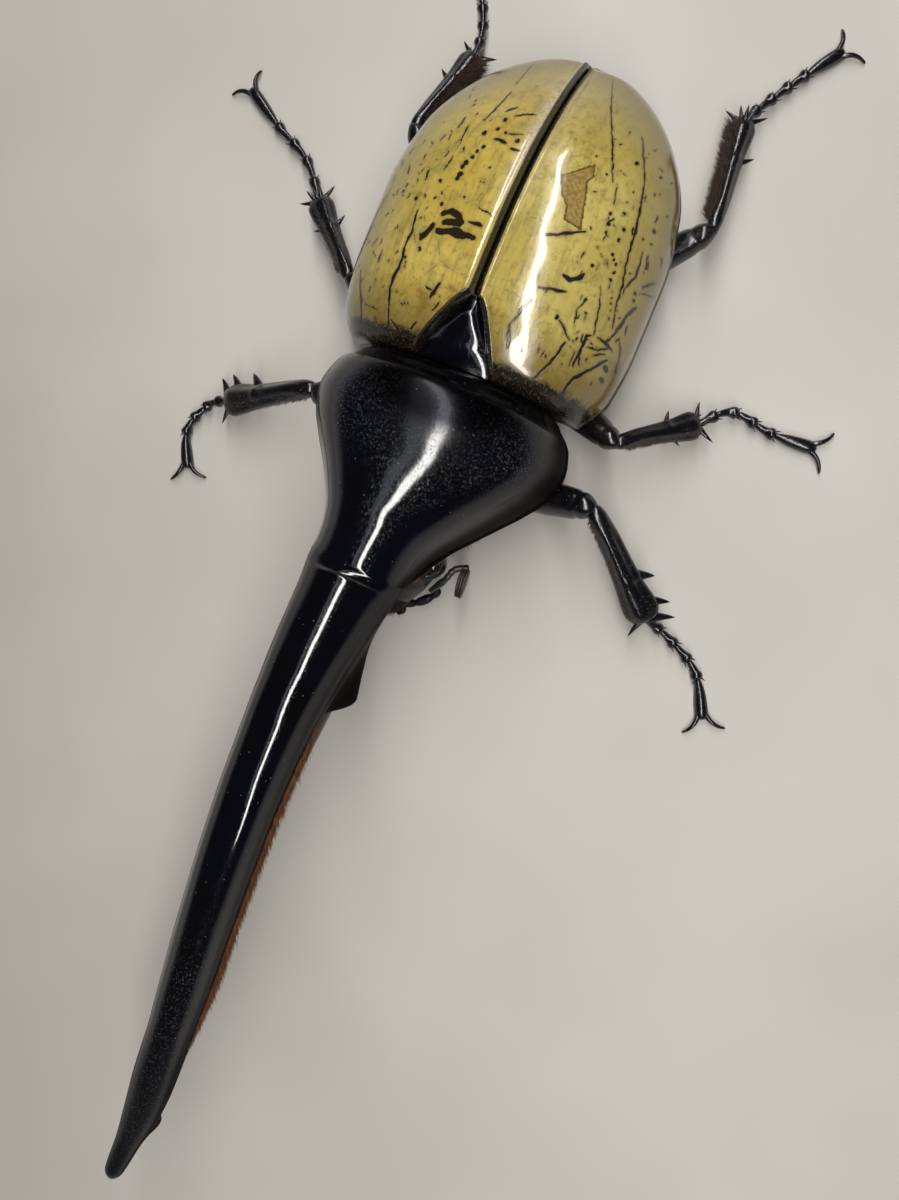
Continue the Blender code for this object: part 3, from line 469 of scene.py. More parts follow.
def add_piece(shape, name, material, slot_name, *nodes, **values):
    """Make one mesh of the gathered grids, with values at its points, and put it in the scene."""
    mesh = shape.mesh(name)
    for key, value in values.items():
        add_values(mesh, key, np.broadcast_to(value, shape.count))
    outward(mesh)
    make_piece(mesh, material, slot_name, *nodes)


def capped(values, at_ends):
    """Values of a grid's points, and then of the middles of its two closed ends."""
    return np.append(values, (at_ends, at_ends))


def ring_grid(middles, across, up, half_widths, half_heights, sides, power=2.0):
    """Ovals round a line of middles, as a grid of points."""
    angle = turns(sides)[..., None]
    sideways = signed_power(np.cos(angle), 2 / power) * np.asarray(half_widths)[:, None, None]
    upward = signed_power(np.sin(angle), 2 / power) * np.asarray(half_heights)[:, None, None]
    return middles[:, None, :] + across[:, None, :] * sideways + up[:, None, :] * upward


def swollen(rings, middles, push):
    """Rings of points moved out from their middles by a share of the distance."""
    return middles[:, None] + (rings - middles[:, None]) * (1 + push)[..., None]


def line_frames(points):
    """Directions across a line and up from it, at each of its points."""
    along = np.zeros_like(points)
    along[1:-1] = points[2:] - points[:-2]
    along[0] = points[1] - points[0]
    along[-1] = points[-1] - points[-2]
    along = unit(along)
    across = level_across(along)
    return across, unit(np.cross(across, along))


def smooth_line(points, steps):
    """Catmull-Rom curve through a few places."""
    points = np.asarray(points, float)
    ends = np.concatenate([[2 * points[0] - points[1]], points, [2 * points[-1] - points[-2]]])
    line = []
    for a, b, c, d in zip(ends, ends[1:], ends[2:], ends[3:]):
        for t in np.arange(steps) / steps:
            square = 2 * a - 5 * b + 4 * c - d
            line.append(0.5 * (2 * b + (c - a) * t + square * t**2 + (3 * b - a - 3 * c + d) * t**3))
    return np.array([*line, points[-1]])


def tube(shape, line, radii, sides, flat=1.0):
    """A round bar along a line, closed at both ends."""
    across, up = line_frames(line)
    shape.closed(ring_grid(line, across, up, radii, radii * flat, sides))


def thorn(shape, root, tip, radius, bend=(0, 0, 0), sides=8, flat=1.0):
    """A pointed, slightly bent spine with a swollen root."""
    share = np.linspace(0, 1, 9)
    line = root + (tip - root) * share[:, None] + np.asarray(bend) * np.sin(share * np.pi)[:, None]
    tube(shape, line, radius * (1 - share) ** 0.75 + 0.02, sides, flat)


# Shader nodes

class Shade:
    """The node tree of a material or world, where any node is made by a single call."""

    def __init__(self, name, owners=bpy.data.materials, last="Principled BSDF"):
        self.owner = owners.new(name)
        self.owner.use_nodes = True
        self.tree = self.owner.node_tree
        self.last = self.tree.nodes[last]

    def node(self, kind, settings=None, sockets=None, out=0):
        made = self.tree.nodes.new("ShaderNode" + kind)
        for key, value in (settings or {}).items():
            setattr(made, key, value)
        for key, value in (sockets or {}).items():
            self.feed(made.inputs[key], value)
        return Level(self, made.outputs[out])

    def feed(self, target, value):
        if isinstance(value, Level):
            self.tree.links.new(value.socket, target)
        elif isinstance(value, (tuple, list)) and len(value) == 3 and target.type == "RGBA":
            target.default_value = (*value, 1.0)
        else:
            target.default_value = value

    def values(self, *names):
        """Numbers that the mesh keeps for each point."""
        return [self.node("Attribute", {"attribute_name": name}, out=2) for name in names]

    @cached_property
    def places(self):
        """Where a point is, in millimetres."""
        spot = self.node("TexCoord", out=3)
        return self.node("VectorMath", {"operation": "SCALE"}, {0: spot, 3: 1000.0})

    def stretched(self, stretch):
        if not stretch:
            return self.places
        return self.node("VectorMath", {"operation": "MULTIPLY"}, {0: self.places, 1: stretch})

    def noise(self, scale, detail=3.0, roughness=0.55, stretch=None):
        return self.node("TexNoise", {}, {
            "Vector": self.stretched(stretch), "Scale": scale, "Detail": detail, "Roughness": roughness,
        })

    def cells(self, scale, randomness=1.0, feature="F1", stretch=None):
        return self.node("TexVoronoi", {"feature": feature}, {
            "Vector": self.stretched(stretch), "Scale": scale, "Randomness": randomness,
        })

    def layers(self, colour, *tones):
        """A colour with others laid over it, each as (share, colour)."""
        for share, tone in tones:
            sockets = {0: share, 6: colour, 7: tone}
            colour = self.node("Mix", {"data_type": "RGBA"}, sockets, out=2)
        return colour

    def bump(self, height, strength, distance, **sockets):
        sockets.update(Height=height, Strength=strength, Distance=distance * MM)
        return self.node("Bump", {}, sockets)

    def finish(self, **sockets):
        """Feed the last shader, by the names of its sockets with _ for spaces."""
        for key, value in sockets.items():
            self.feed(self.last.inputs[key.replace("_", " ")], value)
        return self.owner


def operator(operation, swapped=False):
    """What a Level does in a sum: one more Math node."""
    def apply(level, other):
        pair = (other, level) if swapped else (level, other)
        return level.shade.node("Math", {"operation": operation}, dict(enumerate(pair)))
    return apply


class Level:
    """A shader socket that can stand in a sum as a number does."""

    def __init__(self, shade, socket):
        self.shade = shade
        self.socket = socket

    __add__ = operator("ADD")
    __radd__ = operator("ADD", swapped=True)
    __sub__ = operator("SUBTRACT")
    __rsub__ = operator("SUBTRACT", swapped=True)
    __mul__ = operator("MULTIPLY")
    __rmul__ = operator("MULTIPLY", swapped=True)
    larger = operator("MAXIMUM")

    def step(self, low, high, first=0.0, last=1.0):
        """first below low, last above high and smooth between, either way round."""
        return self.shade.node("MapRange", {"interpolation_type": "SMOOTHSTEP"}, {
            "Value": self, "From Min": low, "From Max": high, "To Min": first, "To Max": last,
        })


# Materials

GOLDEN = (0.51, 0.362, 0.064)
GOLDEN_LIGHT = (0.60, 0.45, 0.105)
OLIVE = (0.49, 0.375, 0.088)
OLIVE_LIGHT = (0.58, 0.465, 0.135)
OLIVE_GREEN = (0.36, 0.30, 0.085)
OLIVE_DEEP = (0.17, 0.122, 0.030)
CRACK_BLACK = (0.012, 0.008, 0.004)
HALO_BROWN = (0.19, 0.115, 0.028)
STAIN_BROWN = (0.33, 0.21, 0.06)
STAIN_DARK = (0.085, 0.05, 0.022)
STAIN_EDGE = (0.04, 0.025, 0.012)
SPECK_BROWN = (0.05, 0.032, 0.012)
RIM_BLACK = (0.006, 0.0055, 0.0045)
# Painted sheen: a pale pinkish glow beside the seam, in place of a reflection
PAINTED_SHEEN = (0.60, 0.50, 0.42)
DUST = (0.20, 0.13, 0.06)
# Leg shells and their like: colour, warmer colour and roughness
LEG_SHELLS = {
    "thigh": ((0.004, 0.004, 0.006), (0.009, 0.007, 0.007), 0.12),
    "shin": ((0.0035, 0.0035, 0.005), (0.009, 0.007, 0.006), 0.13),
    "foot": ((0.004, 0.004, 0.005), (0.010, 0.008, 0.007), 0.14),
    "belly": ((0.010, 0.007, 0.005), (0.026, 0.016, 0.010), 0.3),
    "feeler": ((0.012, 0.009, 0.008), (0.03, 0.02, 0.014), 0.34),
}


def wing_case_colour(shade, ground, light):
    """The olive ground: golden in the middle, greener and darker to the sides, the front and the end."""
    rim, front = shade.values("rim", "front")
    broad = shade.noise(0.09, 3.0, 0.6)
    cloud = shade.noise(0.32, 4.0, 0.62)
    fine = shade.noise(1.1, 4.0, 0.65)
    streaks = shade.noise(0.8, 4.0, 0.62, (1.5, 0.14, 1.5))
    veins = shade.cells(0.55, 1.0, "DISTANCE_TO_EDGE", (1.0, 0.55, 1.0))
    thin = (veins + (fine - 0.5) * 0.08).step(0.03, 0.008) * cloud.step(0.5, 0.62)
    uneven = (cloud - 0.5) * 7.0
    stains = (front + uneven * 2.0).step(13.0, 3.0) * fine.step(0.5, 0.62)
    return shade.layers(
        ground,
        (broad.step(0.36, 0.66), light),
        (cloud.step(0.44, 0.66) * 0.7, OLIVE_GREEN),
        (streaks.step(0.46, 0.74) * 0.5, OLIVE_DEEP),
        (fine.step(0.52, 0.7) * 0.5, OLIVE_DEEP),
        (thin * 0.75, HALO_BROWN),
        ((rim + uneven).step(19.0, 5.0) * 0.8, OLIVE_GREEN),
        ((rim + uneven * 0.8).step(14.0, 2.0) * 0.95, OLIVE_DEEP),
        ((front + uneven * 1.3).step(10.5, 2.5) * 0.85, OLIVE_DEEP),
        (stains * 0.5, HALO_BROWN),
        ((front + uneven).step(30.0, 49.0) * 0.5, OLIVE_DEEP),
    )


def wing_case_material(name, ground, light):
    shade = Shade(name)
    crack, stain, rim, front, seam, haze = shade.values("crack", "stain", "rim", "front", "seam", "haze")
    fine = shade.noise(0.9, 4.0, 0.65)
    ragged = shade.noise(2.3, 4.0, 0.75)
    grain = shade.noise(5.0, 3.0, 0.7)
    halo = (crack + (ragged - 0.5) * 0.34).step(0.16, 0.5)
    lines = (crack + (ragged - 0.5) * 0.3).step(0.43, 0.53)
    edge_stain = stain + (ragged - 0.5) * 0.75
    inside = edge_stain.step(0.42, 0.5)
    outline = inside * edge_stain.step(0.78, 0.6)
    specks = shade.cells(1.5).step(0.15, 0.1) * fine.step(0.56, 0.64)
    specks = specks * (rim + (fine - 0.5) * 8.0).step(11.0, 4.0)
    # Painted sheen beside the seam: a pale glow that stands in for a reflection
    sheen = haze * ragged.step(0.3, 0.62)
    dark = (front + (fine - 0.5) * 2.6 + (grain - 0.5)).step(2.9, 1.7)
    dark = dark.larger((seam + (grain - 0.5) * 0.2).step(0.66, 0.5))
    dark = dark.larger((rim + (grain - 0.5) * 0.3).step(0.7, 0.45))
    crumbs = shade.noise(3.6, 3.0, 0.85).step(0.56, 0.66)
    dusty = crumbs * (front + (fine - 0.5) * 2.6).step(4.2, 0.8) * 0.8
    dusty = dusty.larger(crumbs * seam.step(0.95, 0.4) * 0.35)
    colour = shade.layers(
        wing_case_colour(shade, ground, light),
        (halo * 0.5, HALO_BROWN),
        (inside * 0.75, STAIN_BROWN),
        (inside * ragged.step(0.44, 0.56) * 0.45, STAIN_DARK),
        (outline * 0.75, STAIN_EDGE),
        (specks * 0.85, SPECK_BROWN),
        (sheen * 0.75, PAINTED_SHEEN),
        (lines * 0.97, CRACK_BLACK),
        (dark * 0.985, RIM_BLACK),
        (dusty, DUST),
    )
    scratches = shade.noise(1.5, 3.0, 0.6, (2.4, 0.25, 2.4))
    height = fine * 0.6 + ragged * 0.4 - lines * 1.5 + dusty * 0.6 + scratches * 0.35
    return shade.finish(
        Base_Color=colour, Roughness=0.045 + fine * 0.07 + dusty * 0.5 + sheen * 0.3 + dark * 0.12,
        Normal=shade.bump(grain, 0.25, 0.03, Normal=shade.bump(height, 0.5, 0.085)),
        Coat_Weight=0.5 - dusty * 0.45 - dark * 0.3, Coat_Roughness=0.05, Coat_IOR=1.6,
        Specular_IOR_Level=0.6,
    )


def black_shell_material():
    """Polished black with a painted faint blue sheen, fine pits holding pale dust and painted glints, and a
    few flecks of dust.
    """
    shade = Shade("black_shell_polished")
    pitted, edge = shade.values("pitted", "edge")
    broad = shade.noise(0.08, 2.0)
    fine = shade.noise(1.4, 4.0, 0.6)
    flecks = shade.cells(0.8).step(0.075, 0.05)
    pit_and_glint = shade.cells(2.3, 0.9).step(0.24, 0.1) * pitted.step(0.12, 0.5)
    small = shade.cells(4.6, 0.95).step(0.3, 0.1) * pitted
    colour = shade.layers(
        # Black with a painted blue sheen, bluer in broad patches
        (0.0012, 0.0012, 0.0022),
        (broad.step(0.4, 0.65), (0.0012, 0.0014, 0.0042)),
        (edge * 0.8, (0.0045, 0.0036, 0.003)),
        (flecks * 0.5, (0.2, 0.18, 0.16)),
        # Pits hold pale dust and painted glints, which stand in for their sparkle
        (pit_and_glint * 0.5, (0.05, 0.05, 0.062)),
    )
    dull = (edge * 0.92).larger(pitted.step(0.5, 0.95) * 0.86)
    return shade.finish(
        Base_Color=colour, Roughness=0.05 + pitted * 0.12 + edge * 0.8 + flecks * 0.4 + fine * 0.03,
        Metallic=dull, Normal=shade.bump(fine * 0.1 - pit_and_glint * 1.0 - small * 0.8, 0.75, 0.1),
        Coat_Weight=0.25 - dull * 0.25, Coat_Roughness=0.05, Coat_IOR=1.5, Specular_IOR_Level=0.6,
    )


def leg_material(name, base, warm, roughness):
    """Leg shell: black, a little rougher, with fine wrinkles and scattered pits."""
    shade = Shade(name)
    fine = shade.noise(1.1, 4.0, 0.6)
    pits = 1 - shade.cells(1.9).step(0.05, 0.22)
    colour = shade.layers(
        base, (shade.noise(0.22, 2.0).step(0.4, 0.7), warm), (pits * 0.5, (0.05, 0.035, 0.022)),
    )
    height = fine * 0.5 - pits * 0.8 + shade.noise(7.0, 2.0) * 0.1
    return shade.finish(
        Base_Color=colour, Roughness=roughness + fine * 0.12, Normal=shade.bump(height, 0.8, 0.13),
        Coat_Weight=0.15, Coat_Roughness=0.08, Specular_IOR_Level=0.7,
    )


def eye_material():
    shade = Shade("eye_facets")
    facets = shade.cells(9.0, 0.25)
    colour = shade.layers((0.03, 0.018, 0.01), (facets.step(0.2, 0.6), (0.008, 0.006, 0.005)))
    normal = shade.bump(1 - facets, 0.3, 0.02)
    return shade.finish(Base_Color=colour, Roughness=0.12 + facets * 0.08, Normal=normal, Coat_Weight=0.6)


def hair_material(name, dark, light):
    shade = Shade(name)
    fine = shade.noise(3.0, 3.0)
    dull = (fine.step(0.45, 0.7) * 0.35, (0.02, 0.011, 0.006))
    colour = shade.layers(dark, (shade.values("tone")[0], light), dull)
    return shade.finish(Base_Color=colour, Roughness=0.42 + fine * 0.2)


def floor_material():
    """A pale floor with a faint glow far from the beetle."""
    shade = Shade("plain_floor")
    soft = shade.noise(0.02, 2.0).step(0.3, 0.7)
    away = shade.node("VectorMath", {"operation": "LENGTH"}, {0: shade.places}, out=1)
    return shade.finish(
        Base_Color=shade.layers((0.56, 0.535, 0.49), (soft, (0.62, 0.595, 0.55))), Roughness=0.7,
        Emission_Color=shade.layers((0.0, 0.0, 0.0), (away.step(70.0, 560.0), (0.44, 0.425, 0.395))),
        Emission_Strength=1.0,
    )


# Wing cases

def elytra_half_width(place):
    share = np.clip(np.asarray(place, float) / ELYTRA_LENGTH, 0, 1)
    knots = [(math.sqrt(1 - at), value) for at, value in reversed(ELYTRA_PLAN)]
    return between(knots, np.sqrt(1 - share))[0] * ELYTRA_HALF_WIDTH


def elytra_top(place):
    place = np.asarray(place, float)
    ahead = np.clip((ELYTRA_CREST_AT - place) / ELYTRA_CREST_AT, 0, None)
    behind = np.clip((place - ELYTRA_CREST_AT) / (ELYTRA_LENGTH - ELYTRA_CREST_AT), 0, 1)
    return (
        ELYTRA_HIGHEST
        - (ELYTRA_HIGHEST - ELYTRA_BASE_TOP) * ahead**2
        - (ELYTRA_HIGHEST - ELYTRA_END_TOP) * behind**2.2
    )


def scutellum_half_width(place):
    return SCUTELLUM_HALF_WIDTH * np.clip(1 - np.asarray(place) / SCUTELLUM_LENGTH, 0, 1) ** 0.8


def to_segment(x, y, a, b):
    """Share of a straight stroke passed at its nearest place to each point, and the distance from there."""
    run, rise = b - a
    near = np.clip(((x - a[0]) * run + (y - a[1]) * rise) / ((b - a) @ (b - a)), 0, 1)
    return near, np.hypot(x - a[0] - near * run, y - a[1] - near * rise)


def stroke_field(x, y, cracks, spots):
    """1 well inside a dark mark, 0.5 on its edge and 0 half a millimetre outside it."""
    field = np.zeros_like(x)
    wavy_x = x + 0.09 * wobble(x, y, 0.5)
    wavy_y = y + 0.12 * wobble(y, x, 0.7)
    uneven = 0.85 + 0.35 * wobble(x, y, 0.8)
    for half_width, *places in cracks:
        places = np.array(places)
        lengths = lengths_along(places)
        for a, b, begin, end in zip(places, places[1:], lengths, lengths[1:]):
            near, away = to_segment(wavy_x, wavy_y, a, b)
            share = (begin + near * (end - begin)) / lengths[-1]
            taper = 0.4 + 0.6 * np.sin(np.pi * np.clip(share, 0.04, 0.96)) ** 0.5
            field = np.maximum(field, 0.5 + (half_width * 1.05 + 0.015) * taper * uneven - away)
    for across, back, radius in spots:
        away = np.hypot((wavy_x - across) * 1.15, wavy_y - back)
        field = np.maximum(field, 0.5 + radius * 1.02 * uneven - away)
    return np.clip(field, 0, 1)


def small_dashes(side, count):
    """Short lengthwise dashes, most of them towards the side margin."""
    dashes = []
    for _ in range(count):
        back = 4.0 + 34.0 * CHANCE.random()
        share = 0.35 + 0.58 * CHANCE.random() ** 0.6
        across = side * share * float(elytra_half_width(back))
        length = 0.15 + 1.1 * CHANCE.random() ** 2
        lean = CHANCE.normal(0, 0.18)
        dashes.append((0.04 + 0.07 * CHANCE.random(), (across, back), (across + lean, back + length)))
    return tuple(dashes)


def patch_field(x, y, corners):
    """1 well inside a closed outline, 0.5 on it and 0 half a millimetre outside it."""
    inside = np.zeros(x.shape, bool)
    away = np.full(x.shape, 1e9)
    corners = np.array(corners)
    for a, b in zip(corners, np.roll(corners, -1, axis=0)):
        slant = (b[0] - a[0]) * (y - a[1]) / (b[1] - a[1])
        inside ^= ((a[1] > y) != (b[1] > y)) & (x < slant + a[0])
        away = np.minimum(away, to_segment(x, y, a, b)[1])
    return np.clip(np.where(inside, 0.5 + away, 0.5 - away), 0, 1)


def make_wing_case(name, side, node, sink, cracks, spots, patch, material):
    rows, columns = WING_CASE_GRID
    place = 0.16 + (ELYTRA_LENGTH - 0.2) * (1 - (1 - np.linspace(0, 1, rows)[:, None]) ** 1.3)
    rounding = 0.8 + 0.2 * np.sqrt(1 - (np.clip(ELYTRA_SHOULDER - place, 0, None) / ELYTRA_SHOULDER) ** 2)
    half = elytra_half_width(place) * (0.88 + 0.12 * rounding)
    top = ELYTRA_MARGIN + (elytra_top(place) - ELYTRA_MARGIN) * rounding
    top -= 1.5 * smooth_step(place, ELYTRA_LENGTH - 2.2, ELYTRA_LENGTH) ** 2
    seam = 0.03
    span = np.maximum(half - seam, 0.35)
    inner = np.maximum(seam, np.where(place < SCUTELLUM_LENGTH, scutellum_half_width(place) + 0.35, 0))
    inner = np.minimum(inner, half * 0.6)
    steepest = np.arccos(np.clip(((inner - seam) / span) ** (DOME_POWER / 2), 0, 1))
    angle = steepest * (1 - np.linspace(0, 1, columns))
    across = seam + span * np.cos(angle) ** (2 / DOME_POWER)
    height = ELYTRA_MARGIN + (top - ELYTRA_MARGIN) * np.sin(angle) ** (2 / DOME_POWER)
    back = np.broadcast_to(place, across.shape)
    fade = smooth_step(span, 1.0, 8.0)
    beside = across - inner
    height -= sink * bell(across, 0, 3.6) * fade
    height += fade * (0.3 * bell(beside, 0.34, 0.24) - 0.14 * bell(beside, 0.95, 0.35))
    height -= 0.35 * bell(beside, 0, 0.16)
    from_margin = np.hypot(span + seam - across, height - ELYTRA_MARGIN)
    height += (0.05 * wobble(across, back, 3.0) + 0.016 * wobble(back, across, 1.3)) * fade
    across_out = across + 0.16 * bell(from_margin, 0.25, 0.3) - 0.14 * bell(from_margin, 0.95, 0.35) * fade
    surface = np.stack([side * across_out, back, height], -1)
    lip = np.minimum(1.1, span * 0.5)
    turned_in = ((-0.1, 0.28), (0.05, 0.6), (0.35, 0.85), (0.5, 1.0))
    under = [(seam + span - lip * inward, drop) for inward, drop in turned_in]
    under += [(seam + (span - lip) * share, 0.9) for share in (0.75, 0.5, 0.25)] + [(seam + span * 0.01, 0.9)]
    below = [np.stack([side * out, place, ELYTRA_MARGIN - lip * drop], -1) for out, drop in under]
    points = np.concatenate([surface[:, :1] - (0, 0, 1.6), surface, *below], axis=1)

    def spread(values, before=0.0, after=0.0):
        """Values of the upper side, with one for the inner wall and one for the lower side."""
        full = np.full(points.shape[:2], after)
        full[:, 0] = before
        full[:, 1:columns + 1] = values
        return capped(full, before)

    seen = (side * across, back)
    # Where the painted sheen lies: beside the seam, behind the front third of the case, full on the right
    # case
    sheen_by_seam = bell(beside, 1.1, 0.9) * smooth_step(back, 17, 27) * smooth_step(back, 48, 36)
    add_piece(
        Shape(points), name, material, "wing_case", node,
        crack=spread(stroke_field(*seen, cracks + small_dashes(side, DASHES), spots)),
        stain=spread(patch_field(*seen, patch)),
        rim=spread(from_margin, before=9.0),
        front=np.append(np.broadcast_to(place, points.shape[:2]), (0, ELYTRA_LENGTH)),
        seam=spread(beside - 0.3 * smooth_step(back, 12.0, 7.0), after=5.0),
        haze=spread(sheen_by_seam if side < 0 else 0.35 * sheen_by_seam),
    )


def make_scutellum(material):
    place = np.linspace(0.2, SCUTELLUM_LENGTH + 0.25, 60)[:, None]
    half = scutellum_half_width(place) + 0.16
    t = np.sin(np.linspace(-1, 1, 41) * np.pi / 2)
    x = half * t
    y = np.broadcast_to(place, x.shape)
    edge = 1 - np.abs(t) ** 2.2
    top = elytra_top(place) - 2.0 - 0.7 * (1 - smooth_step(place, 0, 3.0))
    z = top + 0.75 * edge * np.minimum(1.0, half / 2.0) + 0.12 * np.sin(y * 1.3) * edge
    surface = np.stack([x, y, z], -1)
    low = surface[:, ::-8].copy()
    low[..., 2] = ELYTRA_MARGIN - 0.5
    shape = Shape(np.concatenate([surface, low], axis=1))
    add_piece(shape, "scutellum_plate", material, "black_shell", "scutellum", pitted=0.12, edge=0.0)


# Pronotum and horns

def make_pronotum(material):
    rows, columns = PRONOTUM_GRID
    rear = 0.3 + 29.28 * np.linspace(0, 1, rows)[:, None]
    half, top, margin, floor = between(PRONOTUM_SECTIONS, rear)
    angle = turns(columns)
    sine = np.sin(angle)
    boxy = 2.1 + 0.25 * smooth_step(rear, 29.4, 22.0) * smooth_step(rear, 0.3, 3.0)
    x = signed_power(np.cos(angle), 2 / boxy) * half
    upper = margin + (top - margin) * np.abs(sine) ** (2 / (boxy - 0.05))
    lower = margin - (margin - floor) * np.abs(sine) ** 1.7
    z = np.where(sine >= 0, upper, lower)
    y = np.broadcast_to(-rear, x.shape)
    off_margin = np.hypot(half - np.abs(x), z - margin) * np.sign(z - margin + 1e-6)
    bead = bell(off_margin, 0.15, 0.42)
    lengthwise = smooth_step(rear, 0.3, 3.0) * smooth_step(rear, 29.4, 26.0)
    push = 0.32 * bead * lengthwise - 0.26 * bell(off_margin, 1.15, 0.5) * lengthwise
    push += np.where(sine > 0, 0.16 * bell(rear, 0.9, 0.35) - 0.2 * bell(rear, 2.0, 0.6), 0)
    push += np.where(sine > 0, 0.06 * wobble(x, y, 4.0), 0) * smooth_step(rear, 29.4, 24.0)
    push -= 0.12 * bell(rear, 29.6, 0.2) * (sine > 0) * smooth_step(x, 3.6, 1.0)
    below = smooth_step(z - margin, 3.0, -1.0)
    push += 0.035 * below * np.sin(angle * 46 + 1.5 * wobble(x, y, 3.0)) * lengthwise
    outer = unit(np.stack([x / half**2, np.zeros_like(x), (z - margin) / (top - margin) ** 2], -1))
    dense = bell(rear, 2.5, 6.5) * bell(x, 1.0, 9.5) + 0.35 * bell(rear, 4, 10) + 0.1
    pitted = np.clip(np.where(sine > 0, dense, 0.6), 0, 1)
    edge = smooth_step(np.abs(x) / half, 0.84, 0.985) - 0.7 * bead + 0.95 * smooth_step(z - margin, 1.5, -0.5)
    add_piece(
        Shape(np.stack([x, y, z], -1) + outer * push[..., None]),
        "pronotum_shell", material, "black_shell", "pronotum",
        pitted=capped(pitted, 0.3), edge=capped(np.clip(edge, 0, 1), 0.5),
    )


def horn_line(sections, place):
    """Middles of a horn's rings, with their half widths and half heights."""
    half_width, half_height, height = between(sections, place)
    return np.stack([np.zeros_like(place), -place, height], -1), half_width, half_height


def make_thoracic_horn(material):
    rows, columns = HORN_GRID
    last = THORACIC_HORN[-1][0]
    place = np.linspace(29.6, last, rows)
    here = place[:, None]
    middles, half_width, half_height = horn_line(THORACIC_HORN, place)
    beyond = place - place[0]
    middles[:, 2] -= 0.25 * beyond * np.exp(-beyond / 2.2)
    middles[:, 0] -= 1.1 * smooth_step(place, 104.0, 122.0) ** 1.3
    half_width = half_width * (1 + 0.24 * smooth_step(place, 94.0, 109.0))
    half_height = half_height * 0.985
    upright = smooth_step(here, 29.8, 34.0)
    up = unit(np.array((0, 0, 1.0)) * (1 - upright) + line_frames(middles)[1] * upright)
    angle = turns(columns)
    sine = np.sin(angle)
    low_power = 1.7 - (1.7 - 2 / 2.1) * smooth_step(here, 29.6, 34.5)
    upward = signed_power(sine, np.where(sine < 0, low_power, 2 / 2.1))
    lateral = bell(np.abs(np.abs(angle - np.pi) - np.pi / 2) - np.pi / 2 + 0.22, 0, 0.16)
    low = np.abs(np.abs(angle - np.pi * 1.5) - 0.95)
    rise = smooth_step(here, 31.5, 46.5) ** 1.4 * smooth_step(here, 48.2, 43.6)
    radius = 1 + 0.035 * lateral * smooth_step(here, 36, 44) * smooth_step(here, 112, 100)
    radius = radius + 0.8 * rise * bell(low, 0, 0.28 - 0.12 * smooth_step(here, 37, 45))
    radius = radius + 0.55 * (bell(here, HORN_KNOB_AT, 1.5) * bell(angle, np.pi * 1.3, 0.6))
    radius = radius + 0.005 * wobble(here, angle * 4, 2.6) * smooth_step(here, 29.6, 36)
    radius = radius - 0.018 * bell(here, 29.6, 0.25) * (sine > 0) * smooth_step(np.cos(angle), -0.6, -0.1)
    tip_size = ball_end((place - last + 1.4) / 1.4, 0.02)
    sideways = signed_power(np.cos(angle), 2 / 2.1) * radius * (half_width * tip_size)[:, None]
    z = up[:, None, :] * (upward * radius * (half_height * tip_size)[:, None])[..., None]
    pitted = np.clip(0.05 + 0.5 * smooth_step(here, 60, 110) + 0.25 * lateral, 0, 1)
    edge = smooth_step(sine, 0.7, 0.15) - 0.3 * lateral + 0.35 * smooth_step(here, 80, 112)
    add_piece(
        Shape(middles[:, None, :] + sideways[..., None] * (-1.0, 0, 0) + z),
        "thoracic_horn_shell", material, "black_shell", "thoracic_horn",
        pitted=capped(pitted, 0.3), edge=capped(np.clip(edge, 0, 1), 0.5),
    )


def make_cephalic_horn(material):
    place = np.linspace(31.6, CEPHALIC_HORN[-1][0] + 1.2, 200)
    middles, half_width, half_height = horn_line(CEPHALIC_HORN, place)
    beyond = np.clip(place - CEPHALIC_HORN[-1][0], 0, None)
    middles[:, 2] += beyond * 0.45
    size = ball_end(beyond / 1.25, 0.02)
    shape = Shape(ring_grid(middles, *line_frames(middles), half_width * size, half_height * size, 64))
    for at, reach in CEPHALIC_TEETH:
        middle, width, height = (value[0] for value in horn_line(CEPHALIC_HORN, np.array([at])))
        tip = middle + (0, -1.2, height + reach)
        thorn(shape, middle + (0, 0.4, height * 0.35), tip, width * 0.95, (0, 0.25, 0), 20)
    add_piece(shape, "cephalic_horn_shell", material, "black_shell", "cephalic_horn", pitted=0.35, edge=0.3)


# Head, mouth and underside

def make_head(material):
    place = np.linspace(HEAD_SECTIONS[0][0], HEAD_SECTIONS[-1][0], 90)[:, None]
    half, top, middle, bottom = between(HEAD_SECTIONS, place)
    angle = turns(96)
    x = signed_power(np.cos(angle), 0.95) * half
    z = middle + np.sin(angle) * np.where(np.sin(angle) >= 0, top - middle, middle - bottom)
    y = np.broadcast_to(-place, x.shape)
    rough = 1 + 0.012 * wobble(x, y * 1.4, 0.7)
    shape = Shape(np.stack([x * rough, y, z * rough], -1))
    for side in (1, -1):
        brow = smooth_line((EYE_CENTRE + np.array(BROW)) * (side, 1, 1), 8)
        tube(shape, brow, np.linspace(0.8, 0.28, len(brow)), 16)
    add_piece(shape, "head_shell", material, "black_shell", "head", pitted=0.7, edge=0.4)


def ball_grid(centre, radius, around=48, rows=32):
    rise = np.linspace(-np.pi / 2 + 0.02, np.pi / 2 - 0.02, rows)[:, None]
    turn = turns(around)
    points = np.stack([np.cos(rise) * np.cos(turn), np.cos(rise) * np.sin(turn), np.sin(rise) + 0 * turn], -1)
    return np.array(centre) + points * radius


def make_eye(name, side, material):
    shape = Shape(ball_grid(EYE_CENTRE * np.array((side, 1, 1)), EYE_RADIUS * 0.985))
    add_piece(shape, name + "_bead", material, "eye", name)


